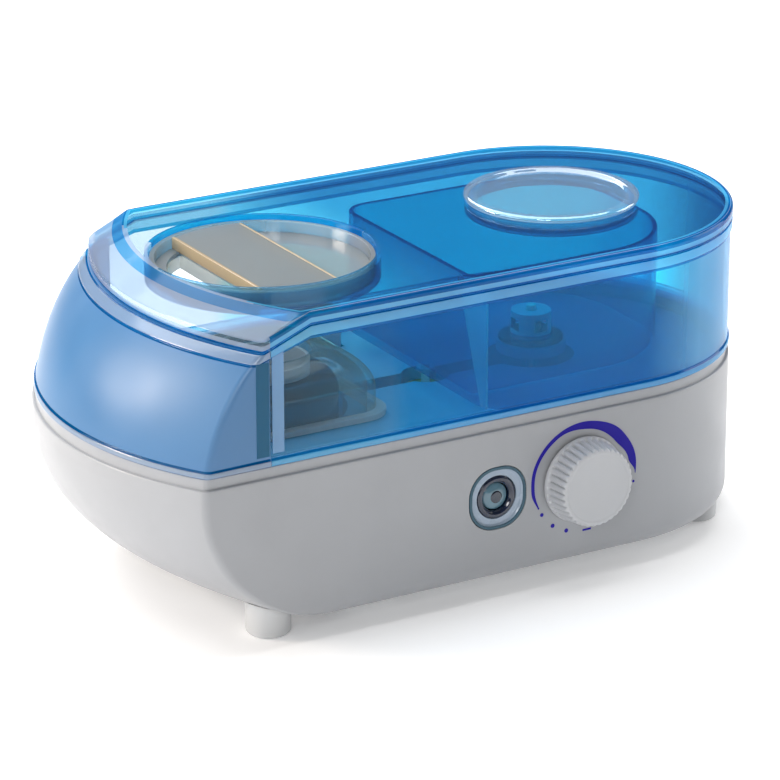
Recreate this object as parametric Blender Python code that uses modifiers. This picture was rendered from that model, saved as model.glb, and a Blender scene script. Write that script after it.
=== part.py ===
"""Ultrasonic cool mist humidifier: a translucent blue upper housing and lid on a white base.

Metres, +Z up. It stands on z = 0 with its knob towards -Y, and the world origin is the bottom centre of
its bounding box. Every piece is a child of one empty, whose frame is the design frame used below:
x = 0 is the centre of the half-round right end, y = 0 is the middle plane and z = 0 is the floor.
"""

import math

import bmesh
import bpy
from mathutils import Matrix

# Driving dimensions, metres.
WIDTH = 0.165
HALF = WIDTH / 2
BASE_BOTTOM = 0.0085
WIDEST = 0.072
STEP = 0.079
SEAM = 0.084
HOUSING_TOP = 0.144
LID_TOP = 0.150
GAP = 0.0003

# Left end: the corner line's reach, its upper arc, its lower ellipse and the bow across the width.
CORNER_REACH = 0.2215
UPPER_ARC = 0.086
LOWER_REACH = 0.070
BOW = 0.026
BOW_LOST_ABOVE = 0.004
BOW_LOST_BELOW = 0.008
CORNER_RADIUS = 0.005

# The lid's left end slopes down from one bowed line to the next.
SLOPE_START = 0.1755
SLOPE_START_BOW = 0.027
SLOPE_END = 0.193
SLOPE_END_BOW = 0.022
SLOPE_DROP = 0.009

WALL = 0.0025
EDGE_RADIUS = 0.008
LIP_INSET = 0.0014
BEAD = 0.0008
LEDGE = 0.008
PLATE_INSET = 0.014

HOOD_SPLIT = 0.190
NOZZLE = (-0.149, 0.0)
NOZZLE_RADIUS = 0.050
FILLER_RADIUS = 0.040
MIST = (-0.149, 0.0)
BASIN_RADIUS = 0.037
BASIN_FLOOR = 0.0525
VALVE = (-0.010, 0.0)
WELL_RADIUS = 0.020
WELL_FLOOR = 0.0625
CHANNEL_WIDTH = 0.012
FLOAT_AT = (-0.066, 0.0)
FLOAT_POCKET = 0.011
DECK_TOP = 0.077
DECK_THICK = 0.0025

RESERVOIR_LEFT = 0.080
RESERVOIR_BACK = 0.054
RESERVOIR_FRONT = 0.0615
RESERVOIR_RIGHT = 0.038
RESERVOIR_FLOOR = 0.0863
RESERVOIR_TOP = 0.1435
TRAY_RADIUS = 0.078

DOME_LENGTH = 0.081
DOME_WIDTH = 0.075
DOME_FLANGE = 0.0035
DOME_CORNER = 0.012
DOME_CROWN = 0.0155
DOME_TOP = 0.105
DOME_MOUTH = 0.0215
BELL_RADIUS = 0.033
BELL_TOP = 0.0945
STACK_RADIUS = 0.0205
STACK_TOP = 0.100

KNOB = (-0.0346, 0.0482)
KNOB_OUT = 0.014
KNOB_RADIUS = 0.020
KNOB_FACE_RADIUS = 0.0173
KNOB_RIBS = 28
LIGHT = (-0.078, 0.0476)
LIGHT_SIDE = 0.0295
LIGHT_ROUNDNESS = 0.44

FAN = (-0.092, 0.038)
FAN_RADIUS = 0.030
FAN_BLADES = 14
DUCT_Y = 0.057
FOOT_RADIUS = 0.010
FEET = {
    "foot_front_left": (-0.182, -0.063),
    "foot_back_left": (-0.182, 0.063),
    "foot_front_right": (0.052, -0.046),
    "foot_back_right": (0.052, 0.046),
}
SCREWS = ((-0.112, -0.064), (-0.120, 0.062), (0.020, -0.052), (0.020, 0.052))
GLAND = (-0.022, 0.026)

# Segments: right end, each corner, the bow, and turned pieces.
END_SEGMENTS = 20
CORNER_SEGMENTS = 2
BOW_SEGMENTS = 10
ROUND_STEPS = 16
WIDE_STEPS = 24
OPENING_STEPS = 32

ORIGIN = ((CORNER_REACH + BOW - HALF) / 2, KNOB_OUT / 2, 0.0)

WHITE = (0.78, 0.79, 0.80)
BLUE = (0.02, 0.17, 0.50)
FROST = (0.28, 0.42, 0.60)
SMOKE = (0.35, 0.38, 0.40)
CLEAR = (0.55, 0.68, 0.80)
NAVY = (0.01, 0.03, 0.09)
DARK = (0.05, 0.05, 0.06)
STEEL = (0.60, 0.61, 0.62)
RUBBER = (0.55, 0.56, 0.57)


def clear_scene():
    for item in list(bpy.data.objects):
        bpy.data.objects.remove(item)


def new_collection(name):
    collection = bpy.data.collections.new(name)
    bpy.context.scene.collection.children.link(collection)
    return collection


def material(name, colour, roughness=0.4, metallic=0.0, alpha=1.0):
    made = bpy.data.materials.new(name)
    made.use_nodes = True
    shader = made.node_tree.nodes["Principled BSDF"]
    shader.inputs["Base Color"].default_value = (*colour, 1.0)
    shader.inputs["Roughness"].default_value = roughness
    shader.inputs["Metallic"].default_value = metallic
    shader.inputs["Alpha"].default_value = alpha
    return made


def add_object(name, mesh, at=(0, 0, 0), turn=(0, 0, 0)):
    """A piece in the model's collection, placed in the design frame."""
    item = bpy.data.objects.new(name, mesh)
    item.location = at
    item.rotation_euler = turn
    item.parent = FRAME
    PARTS.objects.link(item)
    return item


def add_cutter(name, mesh, at=(0, 0, 0), turn=(0, 0, 0)):
    item = bpy.data.objects.new(name, mesh)
    item.location = at
    item.rotation_euler = turn
    item.parent = FRAME
    item.hide_render = True
    item.display_type = "WIRE"
    CUTTERS.objects.link(item)
    return item


def finish(item, colour, roughness=0.4, metallic=0.0, alpha=1.0, smooth=30):
    item.data.materials.clear()
    item.data.materials.append(material(item.name + "_material", colour, roughness, metallic, alpha))
    for face in item.data.polygons:
        face.use_smooth = True
    item.data.set_sharp_from_angle(angle=math.radians(smooth))
    return item


def boolean(item, other, operation):
    modifier = item.modifiers.new(other.name, "BOOLEAN")
    modifier.operation = operation
    modifier.object = other
    modifier.solver = "EXACT"


def cut(item, *cutters):
    for cutter in cutters:
        boolean(item, cutter, "DIFFERENCE")
    return item


def join(item, *others):
    for other in others:
        boolean(item, other, "UNION")
    return item


def mesh_from(bm, name):
    bmesh.ops.recalc_face_normals(bm, faces=bm.faces)
    mesh = bpy.data.meshes.new(name)
    bm.to_mesh(mesh)
    bm.free()
    return mesh


def loft(name, rings, closed=False):
    """A skin over rings of equally many points: capped at both ends, or closed back onto its first ring."""
    bm = bmesh.new()
    rows = [[bm.verts.new(point) for point in ring] for ring in rings]
    pairs = list(zip(rows, rows[1:]))
    if closed:
        pairs.append((rows[-1], rows[0]))
    else:
        bm.faces.new(rows[0])
        bm.faces.new(rows[-1])
    count = len(rows[0])
    for low, high in pairs:
        for i in range(count):
            j = (i + 1) % count
            bm.faces.new((low[i], low[j], high[j], high[i]))
    return mesh_from(bm, name)


def boxes(name, places):
    """Boxes in one mesh, each given as (centre, size) or (centre, size, turn about Z)."""
    bm = bmesh.new()
    for centre, size, *turn in places:
        spin = Matrix.Rotation(turn[0] if turn else 0.0, 4, "Z")
        where = Matrix.Translation(centre) @ spin @ Matrix.Diagonal((*size, 1.0))
        bmesh.ops.create_cube(bm, size=1.0, matrix=where)
    return mesh_from(bm, name)


def cylinder(name, radius, low, high, at=(0, 0), segments=ROUND_STEPS):
    bm = bmesh.new()
    where = Matrix.Translation((at[0], at[1], (low + high) / 2))
    bmesh.ops.create_cone(bm, cap_ends=True, segments=segments, radius1=radius, radius2=radius,
                          depth=high - low, matrix=where)
    return mesh_from(bm, name)


def turned(name, profile, at=(0, 0, 0), turn=(0, 0, 0), steps=ROUND_STEPS, ring=True, cutter=False):
    """A Screw about the local Z axis; a ring's profile closes on itself, any other ends on the axis."""
    mesh = bpy.data.meshes.new(name)
    edges = [(i, i + 1) for i in range(len(profile) - 1)]
    if ring:
        edges.append((len(profile) - 1, 0))
    mesh.from_pydata([(radius, 0, height) for radius, height in profile], edges, [])
    item = (add_cutter if cutter else add_object)(name, mesh, at, turn)
    screw = item.modifiers.new("Turn", "SCREW")
    screw.steps = steps
    screw.render_steps = steps
    screw.use_merge_vertices = True
    screw.merge_threshold = 0.00001
    screw.use_smooth_shade = True
    return item


def tube_profile(inner, outer, low, high):
    return [(outer, high), (outer, low), (inner, low), (inner, high)]


def disc_profile(radius, low, high):
    return [(0, high), (radius, high), (radius, low), (0, low)]


def arc(centre, radius, start, stop, segments):
    """Points along an arc, both ends included; angles in radians."""
    angles = [start + (stop - start) * i / segments for i in range(segments + 1)]
    return [(centre[0] + radius * math.cos(a), centre[1] + radius * math.sin(a)) for a in angles]


def rounded_rectangle(width, height, radius, segments=4):
    points = []
    for quarter in range(4):
        side_x = (1, -1, -1, 1)[quarter]
        side_y = (1, 1, -1, -1)[quarter]
        centre = (side_x * (width / 2 - radius), side_y * (height / 2 - radius))
        start = quarter * math.pi / 2
        points += arc(centre, radius, start, start + math.pi / 2, segments)
    return points


def corner_at(z):
    """How far left the body's front and back corners reach at height z."""
    if z >= WIDEST:
        lost = UPPER_ARC - math.sqrt(UPPER_ARC**2 - (z - WIDEST) ** 2)
    else:
        share = min((WIDEST - z) / (WIDEST - BASE_BOTTOM), 1.0)
        lost = LOWER_REACH * (1 - math.sqrt(1 - share**2))
    return CORNER_REACH - lost


def bow_at(z):
    """How far the left end bows out past its corners at height z."""
    if z >= WIDEST:
        return BOW - BOW_LOST_ABOVE * (z - WIDEST) / (LID_TOP - WIDEST)
    share = min((WIDEST - z) / (WIDEST - BASE_BOTTOM), 1.0)
    return BOW - BOW_LOST_BELOW * share**2


def outline(corner, bow, inset=0.0):
    """The body's plan: a half-round right end, straight sides and a bowed left end, inset evenly."""
    half = HALF - inset
    bow_radius = (HALF**2 + bow**2) / (2 * bow)
    centre_x = bow_radius - corner - bow
    bow_radius -= inset
    fillet = max(CORNER_RADIUS - inset, 0.0015)
    fillet_y = half - fillet
    fillet_x = centre_x - math.sqrt((bow_radius - fillet) ** 2 - fillet_y**2)
    turn = math.atan2(fillet_y, fillet_x - centre_x)
    quarter = math.pi / 2
    knee_x = max(-SLOPE_START + CORNER_RADIUS, fillet_x + 0.001)
    points = arc((0, 0), half, -quarter, quarter, END_SEGMENTS)
    points.append((knee_x, half))
    points += arc((fillet_x, fillet_y), fillet, quarter, turn, CORNER_SEGMENTS)
    points += arc((centre_x, 0), bow_radius, turn, 2 * math.pi - turn, BOW_SEGMENTS)[1:-1]
    points += arc((fillet_x, -fillet_y), fillet, 2 * math.pi - turn, 3 * quarter, CORNER_SEGMENTS)
    points.append((knee_x, -half))
    return points


def level(points, z):
    return [(x, y, z) for x, y in points]


def slope_share(x):
    """0 on the lid's flat top, 1 from the bottom of its left slope on."""
    start = SLOPE_START - CORNER_RADIUS
    return min(max((-x - start) / (SLOPE_END - start), 0.0), 1.0)


def body_ring(z, inset=0.0, profile_z=None):
    at = z if profile_z is None else profile_z
    return level(outline(corner_at(at), bow_at(at), inset), z)


def housing_ring(z, inset=0.0):
    """A ring of the upper housing, whose left end is lower than the rest by the lid's slope."""
    share = (z - SEAM) / (HOUSING_TOP - SEAM)
    left_z = z - SLOPE_DROP * share
    points = outline(corner_at(left_z), bow_at(left_z), inset)
    return [(x, y, z - SLOPE_DROP * share * slope_share(x)) for x, y in points]


def base_skin(grow=0.0):
    """Rings of the base's outer surface up to its widest level, grown outwards and downwards."""
    rings = []
    for angle in [math.radians(degrees) for degrees in (0, 30, 60, 90)]:
        height = BASE_BOTTOM + EDGE_RADIUS * (1 - math.cos(angle))
        inset = EDGE_RADIUS * (1 - math.sin(angle))
        rings.append(lower(body_ring(height, inset - grow), grow))
    return rings + [lower(body_ring(z, -grow), grow) for z in (0.025, 0.036, 0.052, WIDEST)]


def lower(ring, drop):
    return [(x, y, z - drop) for x, y, z in ring]


def make_base():
    rings = [body_ring(BASE_BOTTOM, PLATE_INSET)] + base_skin()
    rings += [body_ring(STEP - 0.0005), body_ring(STEP, 0.0005)]
    rings += [body_ring(STEP, LIP_INSET), body_ring(SEAM, LIP_INSET)]
    rings += [body_ring(SEAM, LIP_INSET + WALL), body_ring(STEP, LIP_INSET + WALL)]
    rings += [body_ring(z, WALL) for z in (STEP - WALL / 2, WIDEST)]
    rings += [body_ring(z, WALL, z - WALL) for z in (0.052, 0.036, 0.025, 0.0165)]
    rings += [body_ring(0.0130, 0.0055, 0.0105), body_ring(BASE_BOTTOM + WALL, 0.010, BASE_BOTTOM)]
    rings += [body_ring(BASE_BOTTOM + WALL, PLATE_INSET, BASE_BOTTOM)]
    base = add_object("base_shell", loft("base_shell", rings, closed=True))
    knob_hole = cylinder("knob_hole", 0.0045, -0.006, 0.006)
    light_hole = light_block("light_hole", LIGHT_SIDE, -0.006, 0.006)
    gland_hole = cylinder("gland_hole", 0.0055, -0.006, 0.006)
    cut(
        base,
        add_cutter("knob_hole", knob_hole, (KNOB[0], -HALF, KNOB[1]), FACING_FRONT),
        add_cutter("light_hole", light_hole, (LIGHT[0], -HALF, LIGHT[1]), FACING_FRONT),
        add_cutter("gland_hole", gland_hole, (GLAND[0], HALF, GLAND[1]), FACING_FRONT),
    )
    finish(base, WHITE, 0.35)


def light_block(name, side, low, high):
    points = rounded_rectangle(side, side, side * LIGHT_ROUNDNESS)
    return loft(name, [level(points, low), level(points, high)])


def make_bottom_plate():
    low = BASE_BOTTOM + GAP / 2
    high = BASE_BOTTOM + WALL - GAP / 2
    ring = outline(corner_at(BASE_BOTTOM), bow_at(BASE_BOTTOM), PLATE_INSET + GAP)
    plate = add_object("bottom_plate", loft("bottom_plate", [level(ring, low), level(ring, high)]))
    slots = []
    for i in range(7):
        offset = (i - 3) * 0.0055
        length = 2 * math.sqrt(0.020**2 - offset**2)
        slots.append(((FAN[0] + offset, FAN[1], low), (0.0028, length, 0.012)))
    cut(plate, add_cutter("intake_slots", boxes("intake_slots", slots)))
    for number, at in enumerate(SCREWS, 1):
        name = f"plate_hole_{number}"
        cut(plate, add_cutter(name, cylinder(name, 0.0019, 0, 0.020, at, 12)))
    for name, at in FEET.items():
        hole = f"{name}_notch"
        cut(plate, add_cutter(hole, cylinder(hole, FOOT_RADIUS + GAP, 0, 0.020, at)))
    finish(plate, WHITE, 0.5)


def make_feet():
    skin = add_cutter("under_side", loft("under_side", base_skin(GAP)))
    for name, at in FEET.items():
        low_edge = 0.0012
        profile = [(0, 0.024), (FOOT_RADIUS, 0.024), (FOOT_RADIUS, low_edge),
                   (FOOT_RADIUS - low_edge, 0), (0, 0)]
        foot = turned(name, profile, (*at, 0), ring=False)
        cut(foot, skin)
        finish(foot, RUBBER, 0.7)


def make_deck():
    ring = outline(corner_at(DECK_TOP), bow_at(DECK_TOP), WALL + 2 * GAP)
    slab = [level(ring, DECK_TOP - DECK_THICK), level(ring, DECK_TOP)]
    deck = add_object("basin_deck", loft("basin_deck", slab))
    inside = DECK_TOP - 0.0001
    channel_y = MIST[1]
    channel_low = WELL_FLOOR - DECK_THICK
    channel_mid = ((MIST[0] + VALVE[0]) / 2 + 0.010, channel_y)
    channel_length = 0.088
    solids = (
        cylinder("basin_solid", BASIN_RADIUS + DECK_THICK, BASIN_FLOOR - DECK_THICK, inside, MIST, WIDE_STEPS),
        cylinder("well_solid", WELL_RADIUS + DECK_THICK, channel_low, inside - 0.0001, VALVE),
        cylinder("pocket_solid", FLOAT_POCKET + DECK_THICK, channel_low, inside - 0.0002, FLOAT_AT),
        boxes("channel_solid", [((*channel_mid, (channel_low + inside) / 2),
                                 (channel_length, CHANNEL_WIDTH + 2 * DECK_THICK, inside - channel_low - 0.0006))]),
    )
    for mesh in solids:
        join(deck, add_cutter(mesh.name, mesh))
    for number, at in enumerate(SCREWS, 1):
        name = f"pillar_{number}"
        join(deck, add_cutter(name, cylinder(name, 0.0045, 0.0113, inside, at, 16)))
        name = f"pillar_hole_{number}"
        cut(deck, add_cutter(name, cylinder(name, 0.0019, 0.005, 0.028, at, 12)))
    above = DECK_TOP + 0.010
    hollows = (
        cylinder("basin_hollow", BASIN_RADIUS, BASIN_FLOOR, above, MIST, WIDE_STEPS),
        cylinder("well_hollow", WELL_RADIUS, WELL_FLOOR, above - 0.0001, VALVE),
        cylinder("pocket_hollow", FLOAT_POCKET, WELL_FLOOR + 0.0001, above - 0.0002, FLOAT_AT),
        boxes("channel_hollow", [((*channel_mid, (WELL_FLOOR + above) / 2),
                                  (channel_length + 0.010, CHANNEL_WIDTH, above - WELL_FLOOR - 0.0006))]),
        cylinder("transducer_hole", 0.0125, BASIN_FLOOR - 0.010, above, MIST),
        boxes("duct_hole", [((FAN[0], DUCT_Y, DECK_TOP), (0.0250, 0.0130, 0.020))]),
    )
    for mesh in hollows:
        cut(deck, add_cutter(mesh.name, mesh))
    finish(deck, WHITE, 0.4)


def make_transducer():
    seat = BASIN_FLOOR - DECK_THICK
    seal_profile = [(0.0122, seat + 0.0024), (0.0122, seat - GAP), (0.0155, seat - GAP),
                    (0.0155, seat - 0.0022), (0.0100, seat - 0.0022), (0.0100, seat + 0.0024)]
    finish(turned("transducer_seal", seal_profile, (*MIST, 0)), DARK, 0.8)
    disc = turned("transducer_disc", disc_profile(0.0097, seat - 0.0004, seat + 0.0010), (*MIST, 0), ring=False)
    finish(disc, STEEL, 0.25, 1.0)
    clamp_high = seat - 0.0022 - GAP
    clamp_profile = tube_profile(0.0080, 0.0200, clamp_high - 0.0030, clamp_high)
    clamp = turned("transducer_clamp", clamp_profile, (*MIST, 0))
    finish(clamp, STEEL, 0.35, 1.0)
    for number in range(3):
        angle = 2 * math.pi * number / 3 + math.pi / 2
        at = (MIST[0] + 0.0178 * math.cos(angle), MIST[1] + 0.0178 * math.sin(angle))
        name = f"clamp_hole_{number + 1}"
        cut(clamp, add_cutter(name, cylinder(name, 0.0014, clamp_high - 0.010, clamp_high + 0.001, at, 12)))
        head = clamp_high - 0.0030 - GAP
        profile = [(0, head + 0.0046), (0.0010, head + 0.0046), (0.0010, head), (0.0024, head),
                   (0.0024, head - 0.0014), (0, head - 0.0014)]
        screw = turned(f"clamp_screw_{number + 1}", profile, (*at, 0), steps=12, ring=False)
        finish(screw, STEEL, 0.3, 1.0)


def make_electronics():
    board = add_object("driver_board", boxes("driver_board", [((-0.058, -0.044, 0.0208),
                                                               (0.088, 0.036, 0.0016))]))
    finish(board, (0.03, 0.16, 0.07), 0.5)
    sink_low = 0.0216 + GAP
    sink_at = (-0.040, -0.050, sink_low)
    sink = add_object("heat_sink", boxes("heat_sink", [((sink_at[0], sink_at[1], sink_low + 0.010),
                                                        (0.036, 0.012, 0.020))]))
    fins = [((sink_at[0] + (i - 2.5) * 0.0056, sink_at[1] - 0.003, sink_low + 0.013), (0.0032, 0.010, 0.020))
            for i in range(6)]
    cut(sink, add_cutter("fin_gaps", boxes("fin_gaps", fins)))
    finish(sink, STEEL, 0.4, 1.0)
    core = add_object("power_transformer", boxes("power_transformer", [((0.034, 0, 0.0280),
                                                                        (0.038, 0.032, 0.030))]))
    coil = boxes("transformer_coil", [((0.034, 0, 0.0282), (0.024, 0.044, 0.022))])
    join(core, add_cutter("transformer_coil", coil))
    bevel = core.modifiers.new("Edges", "BEVEL")
    bevel.width = 0.0008
    finish(core, DARK, 0.5)


def make_light():
    at = (LIGHT[0], -HALF, LIGHT[1])
    bezel_mesh = light_block("indicator_bezel", LIGHT_SIDE - 2 * GAP, -0.0040, -0.0012)
    bezel = add_object("indicator_bezel", bezel_mesh, at, FACING_FRONT)
    cut(bezel, add_cutter("bezel_hole", cylinder("bezel_hole", 0.0101, -0.010, 0.010), at, FACING_FRONT))
    finish(bezel, (0.42, 0.52, 0.58), 0.3)
    ring_profile = [(0.0098, -0.0009), (0.0098, -0.0040), (0.0066, -0.0040), (0.0066, -0.0018),
                    (0.0080, -0.0005)]
    finish(turned("indicator_ring", ring_profile, at, FACING_FRONT), NAVY, 0.2)
    lens_profile = [(0, -0.0012), (0.0035, -0.0015), (0.0063, -0.0026), (0.0063, -0.0045), (0, -0.0045)]
    finish(turned("indicator_lens", lens_profile, at, FACING_FRONT, ring=False), (0.10, 0.25, 0.40), 0.1)
    led_profile = [(0, -0.0049), (0.0014, -0.0054), (0.0020, -0.0068), (0.0020, -0.0105), (0.0026, -0.0105),
                   (0.0026, -0.0117), (0, -0.0117)]
    led = turned("indicator_led", led_profile, at, FACING_FRONT, ring=False)
    finish(led, (0.20, 0.45, 0.80), 0.2)


def knob_ring(radius, height, depth):
    """One outline of the ribbed knob: ribs of the given depth round a circle."""
    count = KNOB_RIBS * 2
    points = []
    for i in range(count):
        angle = 2 * math.pi * i / count
        lowered = radius - depth * (i % 2)
        points.append((lowered * math.cos(angle), lowered * math.sin(angle), height))
    return points


def make_knob():
    at = (KNOB[0], -HALF, KNOB[1])
    face = KNOB_OUT
    rings = [knob_ring(KNOB_RADIUS, 0.0008, 0), knob_ring(KNOB_RADIUS, 0.0026, 0),
             knob_ring(KNOB_RADIUS - 0.0004, 0.0030, 0.0010),
             knob_ring(KNOB_FACE_RADIUS + 0.0008, face - 0.0016, 0.0010),
             knob_ring(KNOB_FACE_RADIUS - 0.0008, face, 0)]
    knob = add_object("control_knob", loft("control_knob", rings), at, FACING_FRONT)
    cut(knob, add_cutter("knob_bore", cylinder("knob_bore", 0.0033, -0.010, 0.0075), at, FACING_FRONT))
    finish(knob, WHITE, 0.35, smooth=40)
    shaft = turned("potentiometer_shaft", disc_profile(0.0030, -0.0070, 0.0070), at, FACING_FRONT, ring=False)
    finish(shaft, STEEL, 0.3, 1.0)
    body_profile = [(0, -0.0074), (0.0090, -0.0074), (0.0090, -0.0150), (0, -0.0150)]
    finish(turned("potentiometer", body_profile, at, FACING_FRONT, ring=False), DARK, 0.4)


def make_fan():
    low, high = 0.0130, 0.0380
    skin = 0.0020
    at = (*FAN, 0)
    housing = turned("fan_housing", [(0, high), (FAN_RADIUS, high), (FAN_RADIUS, low), (0.018, low),
                                     (0.018, low + skin), (FAN_RADIUS - skin, low + skin),
                                     (FAN_RADIUS - skin, high - skin), (0, high - skin)], at, ring=False)
    outlet = boxes("fan_outlet", [((FAN[0], DUCT_Y, high), (0.0210, 0.0080, 0.010))])
    cut(housing, add_cutter("fan_outlet", outlet))
    finish(housing, DARK, 0.5)
    motor_low = 0.0240
    finish(turned("fan_motor", disc_profile(0.0120, motor_low, high - skin - GAP), at, ring=False), STEEL, 0.4, 1.0)
    impeller_profile = [(0, 0.0232), (0.0040, 0.0232), (0.0040, 0.0182), (0.0165, 0.0182), (0.0165, 0.0330),
                        (0.0245, 0.0330), (0.0245, 0.0166), (0, 0.0166)]
    impeller = turned("fan_impeller", impeller_profile, at, ring=False)
    slots = []
    for i in range(FAN_BLADES):
        angle = 2 * math.pi * i / FAN_BLADES
        centre = (FAN[0] + 0.0205 * math.cos(angle), FAN[1] + 0.0205 * math.sin(angle), 0.0282)
        slots.append((centre, (0.012, 0.0052, 0.020), angle))
    cut(impeller, add_cutter("blade_gaps", boxes("blade_gaps", slots)))
    finish(impeller, WHITE, 0.4)
    duct_low, duct_high = high + GAP, 0.095
    sections = ((0.0240, 0.0120), (0.0210, 0.0090))
    wide, narrow = [rounded_rectangle(*size, 0.0025, 2) for size in sections]
    rings = [level(wide, duct_low), level(wide, duct_high), level(narrow, duct_high), level(narrow, duct_low)]
    duct = add_object("air_duct", loft("air_duct", rings, closed=True), (FAN[0], DUCT_Y, 0))
    finish(duct, WHITE, 0.5)
    filter_low = BASE_BOTTOM + WALL + 0.0001
    pad = turned("intake_filter", disc_profile(0.0225, filter_low, low - GAP), at, ring=False)
    finish(pad, DARK, 0.95)


def dome_section():
    """The dome's wall as (inset from its outer side, height), outside first and closed back along the inside."""
    foot = DECK_TOP + GAP
    skin = 0.0020
    mouth = DOME_WIDTH / 2 - DOME_MOUTH
    centre = (DOME_CROWN, DOME_TOP - DOME_CROWN)
    shoulder = arc(centre, DOME_CROWN, math.pi / 2, math.pi, 4)
    under = arc(centre, DOME_CROWN - skin, math.pi, math.pi / 2, 3)
    flange = [(0.0, foot + 0.0030), (-DOME_FLANGE, foot + 0.0030), (-DOME_FLANGE, foot), (skin, foot)]
    return [(mouth, DOME_TOP)] + shoulder + flange + under + [(mouth, DOME_TOP - skin)]


def dome_ring(inset, z):
    """The dome's plan is a rounded rectangle that turns into a circle at its mouth."""
    share = inset / (DOME_WIDTH / 2 - DOME_MOUTH)
    half_x = DOME_LENGTH / 2 * (1 - share) + DOME_MOUTH * share
    half_y = DOME_WIDTH / 2 - inset
    rounding = min(max(share, 0.0), 1.0)
    corner = (DOME_CORNER - inset * 0.5) * (1 - rounding) + half_y * 0.98 * rounding
    return level(rounded_rectangle(2 * half_x, 2 * half_y, corner), z)


def make_mist_path():
    at = (*MIST, 0)
    dome = add_object("mist_dome", loft("mist_dome", [dome_ring(*point) for point in dome_section()], closed=True), at)
    window_at = (MIST[0] + 0.010, MIST[1] + DOME_WIDTH / 2, DECK_TOP + 0.0130)
    window = boxes("air_window", [(window_at, (0.024, 0.012, 0.008))])
    cut(dome, add_cutter("air_window", window))
    finish(dome, CLEAR, 0.1, alpha=0.4)
    skin, mouth, low = 0.0020, STACK_RADIUS + 0.0010, BASIN_FLOOR + GAP
    crown = 0.009
    shoulder = arc((BELL_RADIUS - crown, BELL_TOP - crown), crown, math.pi / 2, 0, 2)
    inner = arc((BELL_RADIUS - crown, BELL_TOP - crown), crown - skin, 0, math.pi / 2, 2)
    bell_profile = [(mouth, BELL_TOP)] + shoulder + [(BELL_RADIUS, low), (BELL_RADIUS - skin, low)]
    bell = turned("splash_bell", bell_profile + inner + [(mouth, BELL_TOP - skin)], at)
    gates = boxes("bell_gates", [((*MIST, low), (0.100, 0.014, 0.016)), ((*MIST, low), (0.014, 0.100, 0.016))])
    cut(bell, add_cutter("bell_gates", gates))
    finish(bell, NAVY, 0.2, alpha=0.7)
    stack = turned("mist_stack", tube_profile(STACK_RADIUS - 0.0015, STACK_RADIUS, low, STACK_TOP), at)
    cut(stack, bpy.data.objects["bell_gates"])
    finish(stack, SMOKE, 0.3)


def make_level_switch():
    at = (*FLOAT_AT, 0)
    low = WELL_FLOOR + 0.0001 + GAP
    stem_profile = [(0, 0.0825), (0.0020, 0.0825), (0.0020, low + 0.0010), (0.0050, low + 0.0010),
                    (0.0050, low), (0, low)]
    finish(turned("float_stem", stem_profile, at, ring=False), WHITE, 0.4)
    clip = turned("float_clip", tube_profile(0.0023, 0.0042, 0.0792, 0.0806), at)
    finish(clip, WHITE, 0.4)
    float_low = low + 0.0010 + GAP
    float_profile = [(0.0095, float_low + 0.0070), (0.0095, float_low), (0.0026, float_low),
                     (0.0026, float_low + 0.0034), (0.0052, float_low + 0.0034), (0.0052, float_low + 0.0070)]
    finish(turned("level_float", float_profile, at), (0.75, 0.35, 0.10), 0.5)
    magnet_low = float_low + 0.0034 + GAP
    magnet = turned("float_magnet", tube_profile(0.0026, 0.0049, magnet_low, magnet_low + 0.0030), at)
    finish(magnet, DARK, 0.4, 1.0)


def make_housing():
    heights = (0.098, 0.112, 0.126)
    low = SEAM + GAP
    rings = [housing_ring(low, LEDGE), housing_ring(low), housing_ring(low + 0.0027),
             housing_ring(low + 0.0030, BEAD)]
    rings += [housing_ring(z, BEAD) for z in heights]
    rings += [housing_ring(0.1393, BEAD), housing_ring(0.1396), housing_ring(HOUSING_TOP - 0.0004),
              housing_ring(HOUSING_TOP, 0.0004), housing_ring(HOUSING_TOP, BEAD + WALL)]
    rings += [housing_ring(z, BEAD + WALL) for z in reversed(heights)]
    rings += [housing_ring(low + 0.0017, BEAD + WALL), housing_ring(low + 0.0017, LEDGE)]
    right = add_object("tank_shell", loft("tank_shell", rings, closed=True))
    left = add_object("mist_hood", loft("mist_hood", rings, closed=True))
    reach = 0.300
    for item, sign in ((right, -1), (left, 1)):
        middle = -HOOD_SPLIT + sign * (reach / 2 - GAP / 2)
        name = f"{item.name}_split"
        mesh = boxes(name, [((middle, 0, 0.110), (reach, 0.300, 0.200))])
        cut(item, add_cutter(name, mesh))
    finish(right, BLUE, 0.08, alpha=0.4)
    finish(left, FROST, 0.45, alpha=0.8)


def reservoir_outline(inset):
    """The vessel's plan: small corners on the left, large ones on the right."""
    quarter = math.pi / 2
    corners = ((RESERVOIR_RIGHT, RESERVOIR_BACK, 0.045, 9), (-RESERVOIR_LEFT, RESERVOIR_BACK, 0.012, 4),
               (-RESERVOIR_LEFT, -RESERVOIR_FRONT, 0.005, 3), (RESERVOIR_RIGHT, -RESERVOIR_FRONT, 0.045, 9))
    points = []
    for number, (x, y, radius, segments) in enumerate(corners):
        centre = (x - math.copysign(radius, x), y - math.copysign(radius, y))
        points += arc(centre, radius - inset, number * quarter, (number + 1) * quarter, segments)
    return points


def tray_outline():
    """The plate under the vessel, which rests on the housing's ledge and clears the air duct."""
    quarter = math.pi / 2
    corner = 0.012
    points = arc((0, 0), TRAY_RADIUS, -quarter, math.asin(RESERVOIR_BACK / TRAY_RADIUS), 18)
    points += arc((corner - RESERVOIR_LEFT, RESERVOIR_BACK - corner), corner, quarter, 2 * quarter, 4)
    points += arc((corner - RESERVOIR_LEFT, corner - TRAY_RADIUS), corner, 2 * quarter, 3 * quarter, 4)
    return points


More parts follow.
